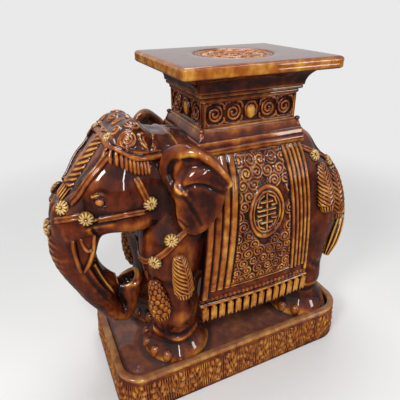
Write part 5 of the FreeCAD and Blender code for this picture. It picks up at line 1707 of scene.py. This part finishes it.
def makeRosettes():
    bodySkin = surfaceOf(body)
    bridle = onSkin(skin, [(at(-192, -20, 279), facingOf(35, 10), 9.0 * mm), (at(-176, -40, 273.5), facingOf(20, -5),
                                                                              9.0 * mm),
                           (at(-112, -60, 282), facingOf(0, 0), 9.0 * mm), (at(-141, -25, 349), facingOf(10, 55),
                                                                            7.0 * mm)])
    dress(rosettes("bridleRosettes", bothSides(bridle), 11, "rosetteGlaze"), "rosetteGlaze", "bridle_rosettes")
    breast = onSkin(bodySkin, [(at(-95.4, -75, 238), facingOf(15, 10), 9.0 * mm), (at(-113, -65, 210), facingOf(45, 0),
                                                                                   9.0 * mm)])
    dress(rosettes("breastRosettes", bothSides(breast), 11, "rosetteGlaze"), "rosetteGlaze", "breast_rosettes")
    rump = onSkin(bodySkin, [(at(105, -57, 300), facingOf(0, 40), 9.0 * mm), (at(141, -45, 283), facingOf(-25, 35),
                                                                              9.0 * mm)])
    dress(rosettes("crupperRosettes", bothSides(rump), 11, "rosetteGlaze"), "rosetteGlaze", "crupper_rosettes")
    flower = [(at(-214.5, 0, 247), np.array((-1.0, 0.0, 0.16)), 11.0 * mm),
              (at(-214.5, 0, 230), np.array((-1.0, 0.0, -0.05)), 8.0 * mm)]
    dress(rosettes("trunkFlower", flower, 9, "rosetteGlaze"), "rosetteGlaze", "trunk_flower")
    return bodySkin


def makeBodyStraps(bodySkin):
    breast = []
    for side in (-1.0, 1.0):
        line = [at(-60, side * 84, 256), at(-84, side * 78, 243), at(-104, side * 70, 222), at(-118, side * 52, 206),
                at(-124, side * 20, 200)]
        breast += strapLines(bodySkin, line, 4.4, 2.0)
    breast += strapLines(bodySkin, [at(-126, -24, 200), at(-128, 0, 199), at(-126, 24, 200)], 4.4, 2.0)
    dress(coils("breastStrap", breast, "ornamentGlaze", 10), "ornamentGlaze", "breast_strap")
    crupper = strapLines(bodySkin, [at(84, -56, 318), at(104, -56, 306), at(124, -50, 298), at(142, -42, 286),
                                    at(152, -26, 280)], 4.2, 2.0)
    pair(coils("crupperStrap", crupper, "ornamentGlaze", 10), "ornamentGlaze", "crupper_strap")


makeCapFringe(makeHeadCloth())
makeStraps()
makeBodyStraps(makeRosettes())
print("harness fitted")


# The floor, the light and the camera
stageLook = {"floorSize": 60.0, "floorColour": (0.69, 0.685, 0.68, 1.0), "backColour": (0.82, 0.82, 0.82, 1.0),
             "tableColour": (0.03, 0.03, 0.032, 1.0), "tableShare": 0.85, "roomColour": (0.93, 0.93, 0.95, 1.0),
             "worldStrength": 0.33, "near": 0.45, "far": 0.95, "wallFacing": (0.418, 0.909, 0.0),
             "wallSpan": (0.30, 0.85), "wallLight": (0.05, 0.62)}
cameraPlace = {"eye": at(-213.13, -405.56, 474.35), "yaw": 0.431, "pitch": 0.485, "roll": -0.006,
               "focalShare": 381.25 / 400.0}
lamps = (
    # name, place, aimed at, size, power: a window at the left, a ceiling, a fill, two tubes and a small pane
    ("windowLight", at(-1100, -620, 1120), at(0, 0, 200), (0.36, 0.32), 11.0),
    ("ceilingLight", at(100, 300, 1400), at(0, 0, 200), (0.70, 0.55), 9.5),
    ("fillLight", at(900, -1100, 500), at(0, 0, 200), (0.24, 0.34), 2.6),
    ("stripLight", at(-300, -1300, 560), at(0, 0, 150), (0.05, 0.55), 2.2),
    ("tubeLight", at(450, -750, 1300), at(0, 0, 200), (0.85, 0.04), 2.4),
    ("paneLight", at(-350, -700, 1100), at(0, 0, 250), (0.11, 0.20), 4.5),
)


def makeStage():
    half = stageLook["floorSize"] / 2.0
    floor = newPiece("floor", [(-half, -half, 0), (half, -half, 0), (half, half, 0), (-half, half, 0)], [[0, 1, 2, 3]])
    material = bpy.data.materials.new("paleFloor")
    material.use_nodes = True
    sheet = Wire(material.node_tree)
    material.node_tree.nodes.clear()
    clay = sheet.add("ShaderNodeBsdfPrincipled", {}, {"Base Color": stageLook["floorColour"], "Roughness": 0.7})
    place = sheet.add("ShaderNodeTexCoord", {}, {}, "Object")
    reach = sheet.add("ShaderNodeVectorMath", {"operation": "LENGTH"}, {0: place}, "Value")
    away = sheet.add("ShaderNodeMapRange", {"interpolation_type": "SMOOTHSTEP"},
                     {"Value": reach, "From Min": stageLook["near"], "From Max": stageLook["far"]}, "Result")
    seen = sheet.add("ShaderNodeLightPath", {}, {}, "Is Camera Ray")
    plain = sheet.add("ShaderNodeEmission", {}, {"Color": stageLook["backColour"], "Strength": 1.0})
    # the glaze mirrors a dark table under the piece, as in the photo
    table = sheet.add("ShaderNodeEmission", {}, {"Color": stageLook["tableColour"], "Strength": 1.0})
    lit = sheet.add("ShaderNodeMixShader", {}, {0: seen.pick("Is Glossy Ray") * stageLook["tableShare"], 1: clay,
                                                2: table})
    shader = sheet.add("ShaderNodeMixShader", {}, {0: away * seen, 1: lit, 2: plain})
    sheet.add("ShaderNodeOutputMaterial", {}, {"Surface": shader})
    floor.data.materials.append(material)
    world = bpy.data.worlds.new("room")
    world.use_nodes = True
    world.node_tree.nodes.clear()
    sheet = Wire(world.node_tree)
    seen = sheet.add("ShaderNodeLightPath", {}, {}, "Is Camera Ray")
    # a bright wall behind the piece and a dim room before it, for the glaze to mirror
    facing = sheet.add("ShaderNodeTexCoord", {}, {}, "Generated")
    behind = sheet.add("ShaderNodeVectorMath", {"operation": "DOT_PRODUCT"}, {0: facing, 1: stageLook["wallFacing"]},
                       "Value")
    (start, full), (dim, bright) = stageLook["wallSpan"], stageLook["wallLight"]
    wall = sheet.add("ShaderNodeMapRange", {"interpolation_type": "SMOOTHSTEP"},
                     {"Value": behind, "From Min": start, "From Max": full, "To Min": dim, "To Max": bright}, "Result")
    mirrored = seen.pick("Is Glossy Ray") * wall
    room = sheet.add("ShaderNodeBackground", {},
                     {"Color": stageLook["roomColour"], "Strength": stageLook["worldStrength"]})
    backdrop = sheet.add("ShaderNodeBackground", {}, {"Color": stageLook["backColour"], "Strength": 1.0})
    mixed = sheet.add("ShaderNodeMixShader", {}, {0: seen + mirrored, 1: room, 2: backdrop})
    sheet.add("ShaderNodeOutputWorld", {}, {"Surface": mixed})
    bpy.context.scene.world = world


def aimed(name, data, place, target):
    thing = bpy.data.objects.new(name, data)
    bpy.context.scene.collection.objects.link(thing)
    thing.location = Vector(place)
    thing.rotation_euler = (Vector(target) - Vector(place)).to_track_quat("-Z", "Y").to_euler()
    return thing


def makeLamps():
    for name, place, target, size, power in lamps:
        data = bpy.data.lights.new(name, "AREA")
        data.shape = "RECTANGLE"
        data.size, data.size_y = size
        data.energy = power
        aimed(name, data, place, target)


def makeCamera():
    data = bpy.data.cameras.new("photoCamera")
    data.sensor_width = 36.0
    data.sensor_height = 36.0
    data.sensor_fit = "HORIZONTAL"
    data.lens = data.sensor_width * cameraPlace["focalShare"]
    data.clip_start = 0.01
    yaw, pitch = cameraPlace["yaw"], cameraPlace["pitch"]
    forward = Vector((math.sin(yaw) * math.cos(pitch), math.cos(yaw) * math.cos(pitch), -math.sin(pitch)))
    camera = aimed("photoCamera", data, cameraPlace["eye"], Vector(cameraPlace["eye"]) + forward)
    camera.rotation_euler.rotate_axis("Z", cameraPlace["roll"])
    bpy.context.scene.camera = camera


makeStage()
makeLamps()
makeCamera()
bpy.context.scene.view_settings.view_transform = "Standard"
bpy.data.objects.remove(ball)
print("stage set")
